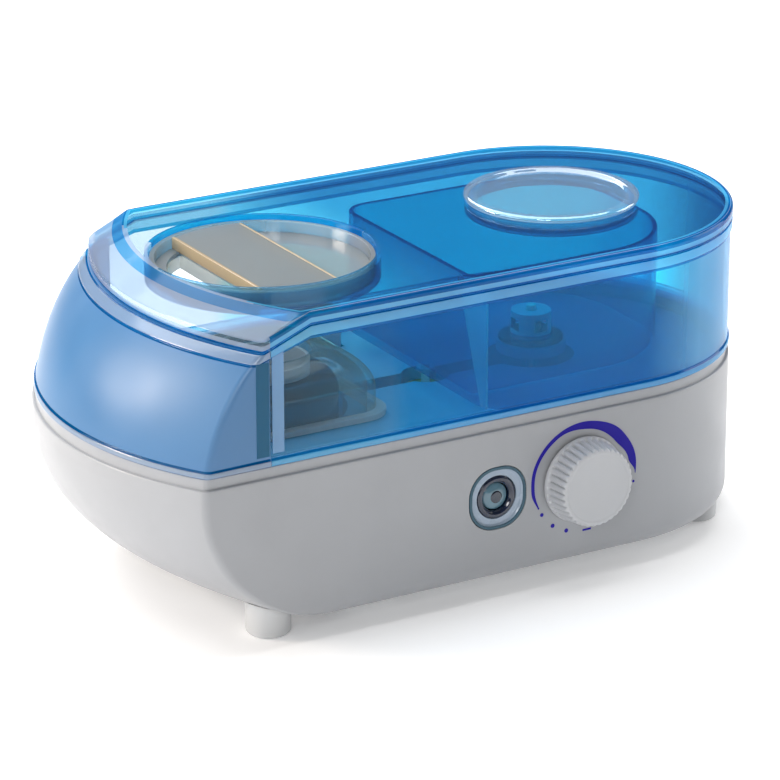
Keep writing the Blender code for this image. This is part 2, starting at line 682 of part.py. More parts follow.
def make_reservoir():
    skin = 0.0020
    outer = reservoir_outline(0.0)
    inner = reservoir_outline(skin)
    rings = [level(outer, RESERVOIR_FLOOR), level(outer, RESERVOIR_TOP), level(inner, RESERVOIR_TOP),
             level(inner, RESERVOIR_FLOOR + skin)]
    vessel = add_object("water_reservoir", loft("water_reservoir", rings))
    tray = loft("reservoir_tray", [level(tray_outline(), RESERVOIR_FLOOR),
                                   level(tray_outline(), RESERVOIR_FLOOR + skin - 0.0001)])
    join(vessel, add_cutter("reservoir_tray", tray))
    hole = cylinder("outlet_hole", 0.0100, RESERVOIR_FLOOR - 0.010, RESERVOIR_FLOOR + 0.010, VALVE)
    cut(vessel, add_cutter("outlet_hole", hole))
    finish(vessel, BLUE, 0.1, alpha=0.5)


def make_valve():
    at = (*VALVE, 0)
    roof = RESERVOIR_FLOOR
    seal_low = roof - GAP - 0.0015
    finish(turned("valve_seal", tube_profile(0.0098, 0.0150, seal_low, roof - GAP), at), DARK, 0.8)
    cap_high = seal_low - GAP
    cap_profile = [(0.0160, cap_high), (0.0160, cap_high - 0.0050), (0.0034, cap_high - 0.0050),
                   (0.0034, cap_high - 0.0030), (0.0096, cap_high - 0.0030), (0.0096, cap_high)]
    finish(turned("valve_cap", cap_profile, at), WHITE, 0.4)
    seat = cap_high - 0.0030
    cage_top, cage_outer, cage_inner = 0.0982, 0.0093, 0.0083
    roof_low = cage_top - 0.0012
    plunger_profile = [(0, 0.1005), (0.0022, 0.1005), (0.0022, seat + 0.0020), (0.0079, seat + 0.0020),
                       (0.0079, seat + GAP), (0.0026, seat + GAP), (0.0026, seat - 0.0030), (0, seat - 0.0030)]
    finish(turned("valve_plunger", plunger_profile, at, ring=False), (0.70, 0.72, 0.75), 0.4)
    cage_profile = [(cage_outer, cage_top), (cage_outer, seat + GAP), (cage_inner, seat + GAP),
                    (cage_inner, roof_low), (0.0027, roof_low), (0.0027, cage_top)]
    cage = turned("valve_cage", cage_profile, at)
    windows_z = RESERVOIR_FLOOR + 0.0060
    windows = boxes("cage_windows", [((*VALVE, windows_z), (0.030, 0.0070, 0.0060)),
                                     ((*VALVE, windows_z), (0.0070, 0.030, 0.0060))])
    cut(cage, add_cutter("cage_windows", windows))
    finish(cage, WHITE, 0.4)
    make_spring(seat + 0.0020 + GAP, roof_low - GAP, 0.0046)
    pin_high = seat - 0.0030 - 0.0004
    pin_profile = [(0, pin_high), (0.0016, pin_high), (0.0024, pin_high - 0.0020),
                   (0.0024, WELL_FLOOR + 0.0020), (0.0060, WELL_FLOOR + 0.0020),
                   (0.0060, WELL_FLOOR + GAP), (0, WELL_FLOOR + GAP)]
    finish(turned("valve_push_pin", pin_profile, at, ring=False), WHITE, 0.4)


def make_spring(low, high, radius):
    wire = 0.0004
    turns, steps = 4, 8
    curve = bpy.data.curves.new("spring_wire", "CURVE")
    curve.dimensions = "3D"
    curve.bevel_depth = wire
    curve.bevel_resolution = 0
    curve.use_fill_caps = True
    line = curve.splines.new("POLY")
    count = turns * steps + 1
    line.points.add(count - 1)
    for i in range(count):
        angle = 2 * math.pi * i / steps
        height = low + wire + (high - low - 2 * wire) * i / (count - 1)
        line.points[i].co = (radius * math.cos(angle), radius * math.sin(angle), height, 1)
    spring = add_object("valve_spring", curve, (*VALVE, 0))
    curve.materials.append(material("valve_spring_material", STEEL, 0.3, 1.0))
    return spring


def lid_rings():
    flat_corner, flat_bow = SLOPE_START, SLOPE_START_BOW
    foot_corner, foot_bow = SLOPE_END, SLOPE_END_BOW

    def sloped(z, inset):
        points = outline(foot_corner, foot_bow, inset)
        return [(x, y, z - SLOPE_DROP * slope_share(x)) for x, y in points]

    skin = 0.0022
    low = HOUSING_TOP + GAP
    return [
        level(outline(flat_corner, flat_bow, 0.0012), LID_TOP),
        sloped(LID_TOP - 0.0004, 0.0003),
        sloped(LID_TOP - 0.0010, 0.0),
        sloped(low, 0.0),
        sloped(low, 0.0024),
        sloped(LID_TOP - skin, 0.0024),
        level(outline(flat_corner - 0.0010, flat_bow, 0.0030), LID_TOP - skin),
    ]


def make_lid():
    lid = add_object("lid", loft("lid", lid_rings()))
    collar_low = LID_TOP - 0.012
    shelf = collar_low + 0.0015
    nozzle_hole = cylinder("nozzle_hole", NOZZLE_RADIUS + 0.0009, 0.1, 0.2, NOZZLE, OPENING_STEPS)
    filler_hole = cylinder("filler_hole", FILLER_RADIUS - 0.0015, 0.1, 0.2, (0, 0), OPENING_STEPS)
    cut(lid, add_cutter("nozzle_hole", nozzle_hole), add_cutter("filler_hole", filler_hole))
    collar_profile = [(NOZZLE_RADIUS + 0.0018, LID_TOP - 0.0001), (NOZZLE_RADIUS + 0.0018, collar_low),
                      (NOZZLE_RADIUS - 0.0045, collar_low), (NOZZLE_RADIUS - 0.0045, shelf),
                      (NOZZLE_RADIUS, shelf), (NOZZLE_RADIUS, LID_TOP - 0.0001)]
    nozzle_collar = turned("nozzle_collar", collar_profile, (*NOZZLE, 0), steps=OPENING_STEPS, cutter=True)
    neck = FILLER_RADIUS - 0.0022
    filler_profile = tube_profile(neck, neck + 0.0016, LID_TOP - 0.0060, LID_TOP - 0.0001)
    filler_collar = turned("filler_collar", filler_profile, (0, 0, 0), steps=OPENING_STEPS, cutter=True)
    join(lid, nozzle_collar, filler_collar)
    finish(lid, BLUE, 0.08, alpha=0.4)


def make_nozzle():
    at = (*NOZZLE, 0)
    low = LID_TOP - 0.012 + 0.0015 + GAP
    radius = NOZZLE_RADIUS - 0.0005
    frame_profile = [(radius, low + 0.0080), (radius, low), (radius - 0.0060, low),
                     (radius - 0.0060, low + 0.0012), (radius - 0.0022, low + 0.0012),
                     (radius - 0.0022, low + 0.0080)]
    finish(turned("nozzle_frame", frame_profile, at, steps=OPENING_STEPS), (0.55, 0.42, 0.28), 0.15, alpha=0.5)
    plate_low = low + 0.0012 + GAP
    plate_radius = radius - 0.0022 - GAP
    plate = turned("nozzle_plate", disc_profile(plate_radius, plate_low, plate_low + 0.0024), at,
                   steps=OPENING_STEPS, ring=False)
    mouth_points = arc((0, 0), plate_radius - 0.0050, math.radians(122), math.radians(238), 10)
    mouth = loft("mist_mouth", [level(mouth_points, 0.1), level(mouth_points, 0.2)])
    cut(plate, add_cutter("mist_mouth", mouth, at))
    finish(plate, SMOKE, 0.2, alpha=0.7)


def make_filler_cap():
    brim_low = LID_TOP + 0.0011
    top = LID_TOP + 0.0030
    plug = FILLER_RADIUS - 0.0022 - GAP
    profile = [(0, top - 0.0014), (FILLER_RADIUS - 0.0060, top - 0.0014), (FILLER_RADIUS - 0.0045, top),
               (FILLER_RADIUS - 0.0010, top), (FILLER_RADIUS, top - 0.0008), (FILLER_RADIUS, brim_low),
               (plug, brim_low), (plug, LID_TOP - 0.0055), (plug - 0.0020, LID_TOP - 0.0055),
               (plug - 0.0020, brim_low - 0.0009), (0, brim_low - 0.0009)]
    finish(turned("filler_cap", profile, steps=OPENING_STEPS, ring=False), CLEAR, 0.06, alpha=0.35)
    seal_low = LID_TOP + 0.0001 + GAP / 2
    seal = turned("filler_gasket", tube_profile(plug + GAP, FILLER_RADIUS - 0.0006, seal_low, brim_low - GAP / 2),
                  steps=OPENING_STEPS)
    finish(seal, (0.75, 0.80, 0.85), 0.6)


def make_gland():
    profile = tube_profile(0.0028, 0.0055 - GAP, -0.0050, -0.0001)
    finish(turned("cord_gland", profile, (GLAND[0], HALF, GLAND[1]), FACING_BACK), DARK, 0.8)


def make_bottom_screws():
    head_high = BASE_BOTTOM + GAP / 2 - GAP
    for number, at in enumerate(SCREWS, 1):
        profile = [(0, 0.0240), (0.0015, 0.0240), (0.0015, head_high), (0.0032, head_high),
                   (0.0028, head_high - 0.0016), (0, head_high - 0.0016)]
        screw = turned(f"bottom_screw_{number}", profile, (*at, 0), steps=12, ring=False)
        finish(screw, STEEL, 0.3, 1.0)


FACING_FRONT = (math.pi / 2, 0, 0)
FACING_BACK = (-math.pi / 2, 0, 0)

clear_scene()
PARTS = new_collection("cool_mist_humidifier")
CUTTERS = new_collection("cutters")
FRAME = bpy.data.objects.new("design_frame", None)
FRAME.location = ORIGIN
PARTS.objects.link(FRAME)

make_base()
make_bottom_plate()
make_feet()
make_bottom_screws()
make_deck()
make_transducer()
make_electronics()
make_light()
make_knob()
make_fan()
make_mist_path()
make_level_switch()
make_housing()
make_reservoir()
make_valve()
make_lid()
make_nozzle()
make_filler_cap()
make_gland()
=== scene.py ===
"""Looks of the ultrasonic cool mist humidifier: clear blue plastics over a white moulded base.

Pieces are modelled in the design frame, in metres: x = 0 is the centre of the half-round right end,
y = 0 is the middle plane and z = 0 is the floor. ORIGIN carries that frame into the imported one.
"""

import math
from math import cos, radians, sin, sqrt

import bmesh
import bpy
from mathutils import Matrix, Vector


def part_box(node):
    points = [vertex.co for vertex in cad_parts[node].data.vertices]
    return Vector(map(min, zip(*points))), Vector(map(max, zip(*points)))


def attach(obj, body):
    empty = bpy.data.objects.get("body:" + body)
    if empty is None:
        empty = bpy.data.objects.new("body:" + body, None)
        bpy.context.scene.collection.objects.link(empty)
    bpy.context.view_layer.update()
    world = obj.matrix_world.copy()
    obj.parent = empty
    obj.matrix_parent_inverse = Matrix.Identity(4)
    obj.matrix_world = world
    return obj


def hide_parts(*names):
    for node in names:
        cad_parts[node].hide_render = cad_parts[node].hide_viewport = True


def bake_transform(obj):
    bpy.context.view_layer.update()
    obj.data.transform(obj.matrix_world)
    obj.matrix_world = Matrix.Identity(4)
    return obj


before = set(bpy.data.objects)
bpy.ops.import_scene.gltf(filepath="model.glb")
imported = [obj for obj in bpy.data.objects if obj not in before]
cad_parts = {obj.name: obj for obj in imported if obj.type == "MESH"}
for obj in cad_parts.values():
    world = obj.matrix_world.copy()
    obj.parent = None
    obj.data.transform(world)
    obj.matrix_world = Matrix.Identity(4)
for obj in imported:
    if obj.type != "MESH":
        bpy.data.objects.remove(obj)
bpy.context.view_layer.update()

# The body, as in the CAD.
HALF = 0.0825
BASE_BOTTOM = 0.0085
WIDEST = 0.072
STEP = 0.079
SEAM = 0.084
HOUSING_TOP = 0.144
LID_TOP = 0.15
GAP = 0.0003
CORNER_REACH = 0.2215
UPPER_ARC = 0.086
LOWER_REACH = 0.07
BOW = 0.026
BOW_LOST_ABOVE = 0.004
BOW_LOST_BELOW = 0.008
CORNER_RADIUS = 0.005
SLOPE_START = 0.1755
SLOPE_START_BOW = 0.027
SLOPE_END = 0.193
SLOPE_END_BOW = 0.022
SLOPE_DROP = 0.009
WALL = 0.0025
EDGE_RADIUS = 0.008
LIP_INSET = 0.0014
BEAD = 0.0008
LEDGE = 0.008
PLATE_INSET = 0.014
HOOD_SPLIT = 0.19
NOZZLE = (-0.149, 0.0)
NOZZLE_RADIUS = 0.05
FILLER_RADIUS = 0.04
MIST = (-0.149, 0.0)
BASIN_RADIUS = 0.037
BASIN_FLOOR = 0.0525
VALVE = (-0.01, 0.0)
WELL_RADIUS = 0.02
WELL_FLOOR = 0.0625
CHANNEL_WIDTH = 0.012
FLOAT_AT = (-0.066, 0.0)
FLOAT_POCKET = 0.011
DECK_TOP = 0.077
DECK_THICK = 0.0025
RESERVOIR_LEFT = 0.08
RESERVOIR_BACK = 0.054
RESERVOIR_FRONT = 0.0615
RESERVOIR_RIGHT = 0.038
RESERVOIR_FLOOR = 0.0863
RESERVOIR_TOP = 0.1435
TRAY_RADIUS = 0.078
DOME_LENGTH = 0.081
DOME_WIDTH = 0.075
DOME_FLANGE = 0.0035
DOME_CORNER = 0.012
DOME_CROWN = 0.0155
DOME_TOP = 0.105
DOME_MOUTH = 0.0215
BELL_RADIUS = 0.033
BELL_TOP = 0.0945
STACK_RADIUS = 0.0205
STACK_TOP = 0.1
KNOB = (-0.0346, 0.0482)
KNOB_OUT = 0.014
KNOB_RADIUS = 0.02
KNOB_FACE_RADIUS = 0.0173
LIGHT = (-0.078, 0.0476)
LIGHT_SIDE = 0.0295
LIGHT_ROUNDNESS = 0.44
FAN_X = -0.092
DUCT_Y = 0.057
GLAND = (-0.022, 0.026)
FOOT_RADIUS = 0.01
FEET = {
    "foot_front_left": (-0.182, -0.063),
    "foot_back_left": (-0.182, 0.063),
    "foot_front_right": (0.052, -0.046),
    "foot_back_right": (0.052, 0.046),
}
SCREWS = ((-0.112, -0.064), (-0.12, 0.062), (0.02, -0.052), (0.02, 0.052))

ORIGIN = Vector((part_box("base_shell")[1].x - HALF,
                 (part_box("base_shell")[0].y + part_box("base_shell")[1].y) / 2, 0.0))
QUARTER = math.pi / 2
CIRCLE = 2 * math.pi
FACING_FRONT = (QUARTER, 0, 0)

# Segments: right end, each corner, the bow, turned pieces, and a small arc in a profile.
END_SEGMENTS = 72
CORNER_SEGMENTS = 8
BOW_SEGMENTS = 40
ROUND_STEPS = 96
SMALL_STEPS = 40
FILLET = 3


# ---------------------------------------------------------------- outlines and rings

def arc(centre, radius, start, stop, segments):
    angles = [start + (stop - start) * i / segments for i in range(segments + 1)]
    return [(centre[0] + radius * cos(a), centre[1] + radius * sin(a)) for a in angles]


def corner_at(z):
    """How far left the body's front and back corners reach at height z."""
    if z >= WIDEST:
        lost = UPPER_ARC - sqrt(UPPER_ARC**2 - (z - WIDEST) ** 2)
    else:
        share = min((WIDEST - z) / (WIDEST - BASE_BOTTOM), 1.0)
        lost = LOWER_REACH * (1 - sqrt(1 - share**2))
    return CORNER_REACH - lost


def bow_at(z):
    if z >= WIDEST:
        return BOW - BOW_LOST_ABOVE * (z - WIDEST) / (LID_TOP - WIDEST)
    share = min((WIDEST - z) / (WIDEST - BASE_BOTTOM), 1.0)
    return BOW - BOW_LOST_BELOW * share**2


def outline(corner, bow, inset=0.0):
    """The body's plan: a half-round right end, straight sides and a bowed left end, inset evenly."""
    half = HALF - inset
    bow_radius = (HALF**2 + bow**2) / (2 * bow)
    centre_x = bow_radius - corner - bow
    bow_radius -= inset
    fillet = max(CORNER_RADIUS - inset, 0.0015)
    fillet_y = half - fillet
    fillet_x = centre_x - sqrt((bow_radius - fillet) ** 2 - fillet_y**2)
    turn = math.atan2(fillet_y, fillet_x - centre_x)
    knee_x = max(-SLOPE_START + CORNER_RADIUS, fillet_x + 0.001)
    points = arc((0, 0), half, -QUARTER, QUARTER, END_SEGMENTS)
    points.append((knee_x, half))
    points += arc((fillet_x, fillet_y), fillet, QUARTER, turn, CORNER_SEGMENTS)
    points += arc((centre_x, 0), bow_radius, turn, CIRCLE - turn, BOW_SEGMENTS)[1:-1]
    points += arc((fillet_x, -fillet_y), fillet, CIRCLE - turn, 3 * QUARTER, CORNER_SEGMENTS)
    points.append((knee_x, -half))
    return points


def level(points, z):
    return [(x, y, z) for x, y in points]


def slope_share(x):
    """0 on the lid's flat top, 1 from the bottom of its left slope on."""
    start = SLOPE_START - CORNER_RADIUS
    return min(max((-x - start) / (SLOPE_END - start), 0.0), 1.0)


def body_ring(z, inset=0.0, profile_z=None):
    at = z if profile_z is None else profile_z
    return level(outline(corner_at(at), bow_at(at), inset), z)


def housing_ring(z, inset=0.0):
    """A ring of the upper housing, whose left end is lower than the rest by the lid's slope."""
    share = (z - SEAM) / (HOUSING_TOP - SEAM)
    left_z = z - SLOPE_DROP * share
    points = outline(corner_at(left_z), bow_at(left_z), inset)
    return [(x, y, z - SLOPE_DROP * share * slope_share(x)) for x, y in points]


def lid_ring(z, inset=0.0):
    """A ring of the lid's skirt, which follows the slope's foot."""
    points = outline(SLOPE_END, SLOPE_END_BOW, inset)
    return [(x, y, z - SLOPE_DROP * slope_share(x)) for x, y in points]


def softened(profile, radius, closed=True):
    """The profile with its corners rounded, where the sides beside them are long enough."""
    points = [Vector(point) for point in profile]
    result = []
    for i, corner in enumerate(points):
        if not closed and i in (0, len(points) - 1):
            result.append(tuple(corner))
            continue
        back = points[i - 1] - corner
        ahead = points[(i + 1) % len(points)] - corner
        reach = min(radius, 0.45 * back.length, 0.45 * ahead.length)
        if back.angle(ahead) > radians(165):
            result.append(tuple(corner))
            continue
        start = corner + back.normalized() * reach
        stop = corner + ahead.normalized() * reach
        for k in range(FILLET + 1):
            t = k / FILLET
            result.append(tuple(start * (1 - t) ** 2 + corner * 2 * t * (1 - t) + stop * t * t))
    return result


def stepped(profile, longest):
    """The closed profile with points added along any side longer than the given length."""
    result = []
    for (r0, z0), (r1, z1) in zip(profile, profile[1:] + profile[:1]):
        count = max(1, math.ceil(math.hypot(r1 - r0, z1 - z0) / longest))
        result += [(r0 + (r1 - r0) * i / count, z0 + (z1 - z0) * i / count) for i in range(count)]
    return result


def rounded_rectangle(width, height, radius, segments=10):
    points = []
    for corner in range(4):
        side_x = (1, -1, -1, 1)[corner]
        side_y = (1, 1, -1, -1)[corner]
        centre = (side_x * (width / 2 - radius), side_y * (height / 2 - radius))
        start = corner * QUARTER
        points += arc(centre, radius, start, start + QUARTER, segments)
    return points


# ---------------------------------------------------------------- meshes

def mesh_from(bm, shades=()):
    """The finished mesh, with an empty material slot for each number among the shades."""
    bmesh.ops.recalc_face_normals(bm, faces=bm.faces)
    mesh = bpy.data.meshes.new("shape")
    bm.to_mesh(mesh)
    bm.free()
    for _ in range(max(shades, default=-1) + 1):
        mesh.materials.append(None)
    return mesh


def loft(rings, closed=False, shades=()):
    """A skin over rings of equally many points: capped at both ends, or closed back onto its first ring.

    Shades gives the number of the finish for each pair of rings.
    """
    bm = bmesh.new()
    rows = [[bm.verts.new(point) for point in ring] for ring in rings]
    pairs = list(zip(rows, rows[1:]))
    if closed:
        pairs.append((rows[-1], rows[0]))
    else:
        bm.faces.new(rows[0])
        bm.faces.new(rows[-1])
    count = len(rows[0])
    for number, (low, high) in enumerate(pairs):
        for i in range(count):
            j = (i + 1) % count
            face = bm.faces.new((low[i], low[j], high[j], high[i]))
            face.material_index = shades[number] if shades else 0
    return mesh_from(bm, shades)


def turned(profile, steps=ROUND_STEPS, closed=True, at=(0, 0), shades=()):
    """A profile of (radius, height) turned about Z; one that isn't closed starts and ends on the axis."""
    bm = bmesh.new()
    rows = []
    for radius, height in profile:
        if radius < 1e-7:
            rows.append([bm.verts.new((at[0], at[1], height))])
            continue
        rows.append([bm.verts.new((at[0] + x, at[1] + y, height))
                     for x, y in arc((0, 0), radius, 0, CIRCLE, steps)[:-1]])
    pairs = list(zip(rows, rows[1:]))
    if closed:
        pairs.append((rows[-1], rows[0]))
    for number, (low, high) in enumerate(pairs):
        for i in range(steps):
            j = (i + 1) % steps
            corners = [low[i % len(low)], low[j % len(low)], high[j % len(high)], high[i % len(high)]]
            face = list(dict.fromkeys(corners))
            if len(face) > 2:
                bm.faces.new(face).material_index = shades[number] if shades else 0
    return mesh_from(bm, shades)


def prism(points, low, high):
    return loft([level(points, low), level(points, high)])


def block(centre, size, round_edge=0.0):
    bm = bmesh.new()
    where = Matrix.Translation(centre) @ Matrix.Diagonal((*size, 1.0))
    bmesh.ops.create_cube(bm, size=1.0, matrix=where)
    if round_edge:
        bmesh.ops.bevel(bm, geom=bm.edges[:], offset=round_edge, segments=2, profile=0.5, affect="EDGES")
    return mesh_from(bm)


def rod(radius, low, high, at=(0, 0), steps=SMALL_STEPS):
    return turned([(0, high), (radius, high), (radius, low), (0, low)], steps, False, at)


def new_object(name, data):
    made = bpy.data.objects.new(name, data)
    bpy.context.scene.collection.objects.link(made)
    return made


def carved(mesh, tools, operation="DIFFERENCE"):
    """The mesh with each tool cut from it, or joined to it, as a new mesh."""
    work = new_object("work", mesh)
    helpers = [new_object("tool", tool) for tool in tools]
    for helper in helpers:
        modifier = work.modifiers.new("Carve", "BOOLEAN")
        modifier.operation = operation
        modifier.object = helper
        modifier.solver = "EXACT"
    graph = bpy.context.evaluated_depsgraph_get()
    result = bpy.data.meshes.new_from_object(work.evaluated_get(graph))
    for item in [work] + helpers:
        bpy.data.objects.remove(item)
    return result


def merged(*meshes):
    """Meshes kept as they are, in one."""
    bm = bmesh.new()
    for mesh in meshes:
        bm.from_mesh(mesh)
    result = bpy.data.meshes.new("shape")
    bm.to_mesh(result)
    bm.free()
    return result


def put(name, mesh, finish, body, at=(0, 0, 0), turn=(0, 0, 0), sharp=32):
    """Places a mesh as a piece, riding on the body if one is given. NODE_fine replaces that CAD node."""
    mesh.name = name
    if isinstance(finish, tuple):
        for number, made in enumerate(finish):
            mesh.materials[number] = made
    else:
        mesh.materials.clear()
        mesh.materials.append(finish)
    mesh.shade_smooth()
    mesh.set_sharp_from_angle(angle=radians(sharp))
    piece = new_object(name, mesh)
    piece.location = ORIGIN + Vector(at)
    piece.rotation_euler = turn
    weighted = piece.modifiers.new("Normals", "WEIGHTED_NORMAL")
    weighted.keep_sharp = True
    if body:
        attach(piece, body)
    if name.endswith("_fine"):
        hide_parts(name.removesuffix("_fine"))
    return piece


# ---------------------------------------------------------------- materials

def new_material(name):
    made = bpy.data.materials.new(name)
    made.use_nodes = True
    made.node_tree.nodes.clear()
    return made, made.node_tree


def add(tree, kind, inputs=None, **settings):
    made = tree.nodes.new(kind)
    for key, value in settings.items():
        setattr(made, key, value)
    for key, value in (inputs or {}).items():
        if isinstance(value, bpy.types.NodeSocket):
            tree.links.new(value, made.inputs[key])
        else:
            made.inputs[key].default_value = value
    return made


def noise(tree, scale, detail=3.0):
    place = add(tree, "ShaderNodeTexCoord").outputs["Object"]
    made = add(tree, "ShaderNodeTexNoise", {"Vector": place, "Scale": scale, "Detail": detail})
    return made.outputs["Fac"]


def spread(tree, value, low, high):
    made = add(tree, "ShaderNodeMapRange", {"Value": value, "From Min": 0.3, "From Max": 0.7,
                                            "To Min": low, "To Max": high})
    return made.outputs["Result"]


def blend_colour(tree, share, first, second):
    made = add(tree, "ShaderNodeMix", data_type="RGBA")
    for index, value in ((0, share), (6, first), (7, second)):
        if isinstance(value, bpy.types.NodeSocket):
            tree.links.new(value, made.inputs[index])
        else:
            made.inputs[index].default_value = value if index == 0 else (*value, 1.0)
    return made.outputs[2]


def maths(tree, operation, first, second):
    made = add(tree, "ShaderNodeMath", {0: first, 1: second}, operation=operation)
    return made.outputs["Value"]


def bump(tree, height, depth):
    return add(tree, "ShaderNodeBump", {"Height": height, "Distance": depth, "Strength": 1.0}).outputs["Normal"]


def shaded(colour, amount):
    return tuple(min(channel * amount, 1.0) for channel in colour)


def moulded(name, colour, roughness, grain=1400.0, depth=0.00002, coat=0.0):
    """Opaque moulded plastic or rubber: faint mottling, uneven polish and a fine tool grain."""
    made, tree = new_material(name)
    mottling = spread(tree, noise(tree, 28.0), 0.0, 1.0)
    tone = blend_colour(tree, mottling, shaded(colour, 0.965), shaded(colour, 1.02))
    shader = add(tree, "ShaderNodeBsdfPrincipled", {
        "Base Color": tone,
        "Roughness": spread(tree, noise(tree, 60.0, 5.0), roughness - 0.05, roughness + 0.07),
        "Normal": bump(tree, noise(tree, grain, 2.0), depth),
        "Coat Weight": coat,
    })
    add(tree, "ShaderNodeOutputMaterial", {"Surface": shader.outputs["BSDF"]})
    return made


def metal(name, colour, roughness):
    """Plated or drawn metal with a fine uneven polish."""
    made, tree = new_material(name)
    tone = blend_colour(tree, spread(tree, noise(tree, 90.0), 0.0, 1.0), shaded(colour, 0.9), colour)
    shader = add(tree, "ShaderNodeBsdfPrincipled", {
        "Base Color": tone,
        "Metallic": 1.0,
        "Roughness": spread(tree, noise(tree, 240.0, 4.0), roughness - 0.08, roughness + 0.1),
        "Normal": bump(tree, noise(tree, 1800.0, 2.0), 0.00001),
    })
    add(tree, "ShaderNodeOutputMaterial", {"Surface": shader.outputs["BSDF"]})
    return made


WHITE = (1.0, 1.0, 1.0, 1.0)
# The pale layer on faces turned away from the viewer: a painted reflection of the bright surroundings, partly
# milkiness.
GRAZING_REFLECTION_STARTS = 0.18
GRAZING_REFLECTION_MOST = 0.42
GRAZING_REFLECTION_TINT = (0.28, 0.56, 0.8, 1.0)


def clear(name, tint, edge_tint, haze=0.06, haze_colour=(0.8, 0.85, 0.9), gloss=0.02, roughness=0.03,
          glow=0.5, ripple=0.00006, rim=0.45, grazing_reflection=0.0, mist_end=None):
    """Clear tinted plastic: each surface passes tinted light, deeper when seen edge on, and reflects a little.

    The haze is what the surface and its faint scratches scatter, part of it onwards through the wall. The
    grazing reflection is a pale layer on what turns away from the viewer: a painted reflection of the bright
    surroundings, partly the plastic's own milkiness. The mist end, where it is given, is the paler tint that the
    plastic has left of one x and loses by the other.
    """
    made, tree = new_material(name)
    facing = add(tree, "ShaderNodeLayerWeight", {"Blend": 0.5}).outputs["Facing"]
    edge = maths(tree, "POWER", facing, 2.5)
    if mist_end:
        pale, left, right = mist_end
        place = add(tree, "ShaderNodeSeparateXYZ", {0: add(tree, "ShaderNodeTexCoord").outputs["Object"]})
        limits = {"Value": place.outputs["X"], "From Min": left, "From Max": right}
        along = add(tree, "ShaderNodeMapRange", limits).outputs["Result"]
        tint = blend_colour(tree, along, pale, tint)
        edge_tint = blend_colour(tree, along, shaded(pale, 0.8), edge_tint)
    passing = add(tree, "ShaderNodeBsdfTransparent", {"Color": blend_colour(tree, edge, tint, edge_tint)})
    wave = bump(tree, noise(tree, 35.0, 2.0), ripple)
    onwards = add(tree, "ShaderNodeBsdfTranslucent", {"Color": (*haze_colour, 1.0), "Normal": wave})
    back = add(tree, "ShaderNodeBsdfDiffuse", {"Color": (*haze_colour, 1.0), "Normal": wave})
    milk = add(tree, "ShaderNodeMixShader", {"Fac": glow, 1: back.outputs[0], 2: onwards.outputs[0]})
    cloud = spread(tree, noise(tree, 12.0, 2.0), haze * 0.92, haze * 1.08)
    inside = add(tree, "ShaderNodeMixShader", {"Fac": cloud, 1: passing.outputs[0], 2: milk.outputs[0]})
    # A painted reflection of the bright surroundings, partly milkiness, on faces that turn away from the viewer.
    if grazing_reflection:
        turned_away = maths(tree, "SUBTRACT", facing, GRAZING_REFLECTION_STARTS)
        share = maths(tree, "MULTIPLY", maths(tree, "MAXIMUM", turned_away, 0.0), grazing_reflection)
        share = maths(tree, "MINIMUM", share, GRAZING_REFLECTION_MOST)
        pale = add(tree, "ShaderNodeBsdfDiffuse", {"Color": GRAZING_REFLECTION_TINT})
        inside = add(tree, "ShaderNodeMixShader", {"Fac": share, 1: inside.outputs[0], 2: pale.outputs[0]})
    polish = spread(tree, noise(tree, 20.0, 2.0), roughness * 0.85, roughness * 1.15)
    mirror = add(tree, "ShaderNodeBsdfGlossy", {"Color": WHITE, "Roughness": polish, "Normal": wave})
    rise = maths(tree, "POWER", facing, 5.0)
    share = maths(tree, "MULTIPLY_ADD", rise, rim)
    share.node.inputs[2].default_value = gloss
    total = add(tree, "ShaderNodeMixShader", {"Fac": share, 1: inside.outputs[0], 2: mirror.outputs[0]})
    add(tree, "ShaderNodeOutputMaterial", {"Surface": total.outputs[0]})
    return made


BASE_WHITE = moulded("base_white", (0.35, 0.36, 0.38), 0.36)
INNER_WHITE = moulded("inner_white", (0.7, 0.72, 0.74), 0.5)
KNOB_WHITE = moulded("knob_white", (0.49, 0.5, 0.52), 0.34)
FOOT_RUBBER = moulded("foot_rubber", (0.58, 0.59, 0.6), 0.6)
DECK_BLUE = moulded("deck_blue", (0.16, 0.44, 0.62), 0.45)
SEAL_RUBBER = moulded("seal_rubber", (0.02, 0.02, 0.022), 0.7)
TANK_BLUE = clear("tank_blue", (0.42, 0.9, 0.98), (0, 0.29, 0.62), 0.02, (0.05, 0.5, 0.84), 0.006, grazing_reflection=1.35,
                  mist_end=((0.9, 0.94, 0.96), -0.131, -0.121))
LID_BLUE = clear("lid_blue", (0.42, 0.66, 0.8), (0.2, 0.4, 0.58), 0.02, (0.28, 0.5, 0.7), 0.012,
                 mist_end=((0.8, 0.88, 0.93), -0.135, -0.09))
# Painted highlight: the pale bright finish of the lid's slope, of edges on the bow and of the gusset's edges.
PALE_HIGHLIGHT_BLUE = clear("pale_highlight_blue", (0.66, 0.78, 0.9), (0.46, 0.6, 0.82), 0.5, (0.5, 0.58, 0.72), 0.035, 0.15,
                   rim=0.15)
# Painted highlight: the hood's bright bead bands.
BEAD_HIGHLIGHT = clear("bead_highlight", (0.62, 0.8, 0.92), (0.4, 0.6, 0.82), 0.5, (0.6, 0.76, 0.9), 0.08, 0.15)
# Painted highlight: the bright lines and bands along the lid's and the tank's edges.
EDGE_HIGHLIGHT_BLUE = clear("edge_highlight_blue", (0.5, 0.86, 0.97), (0.2, 0.64, 0.9), 0.55, (0.12, 0.6, 0.92), 0.06, 0.1)
CREASE_BLUE = clear("crease_blue", (0.26, 0.62, 0.88), (0.06, 0.36, 0.7), 0.5, (0.05, 0.3, 0.64), 0.03, 0.1)
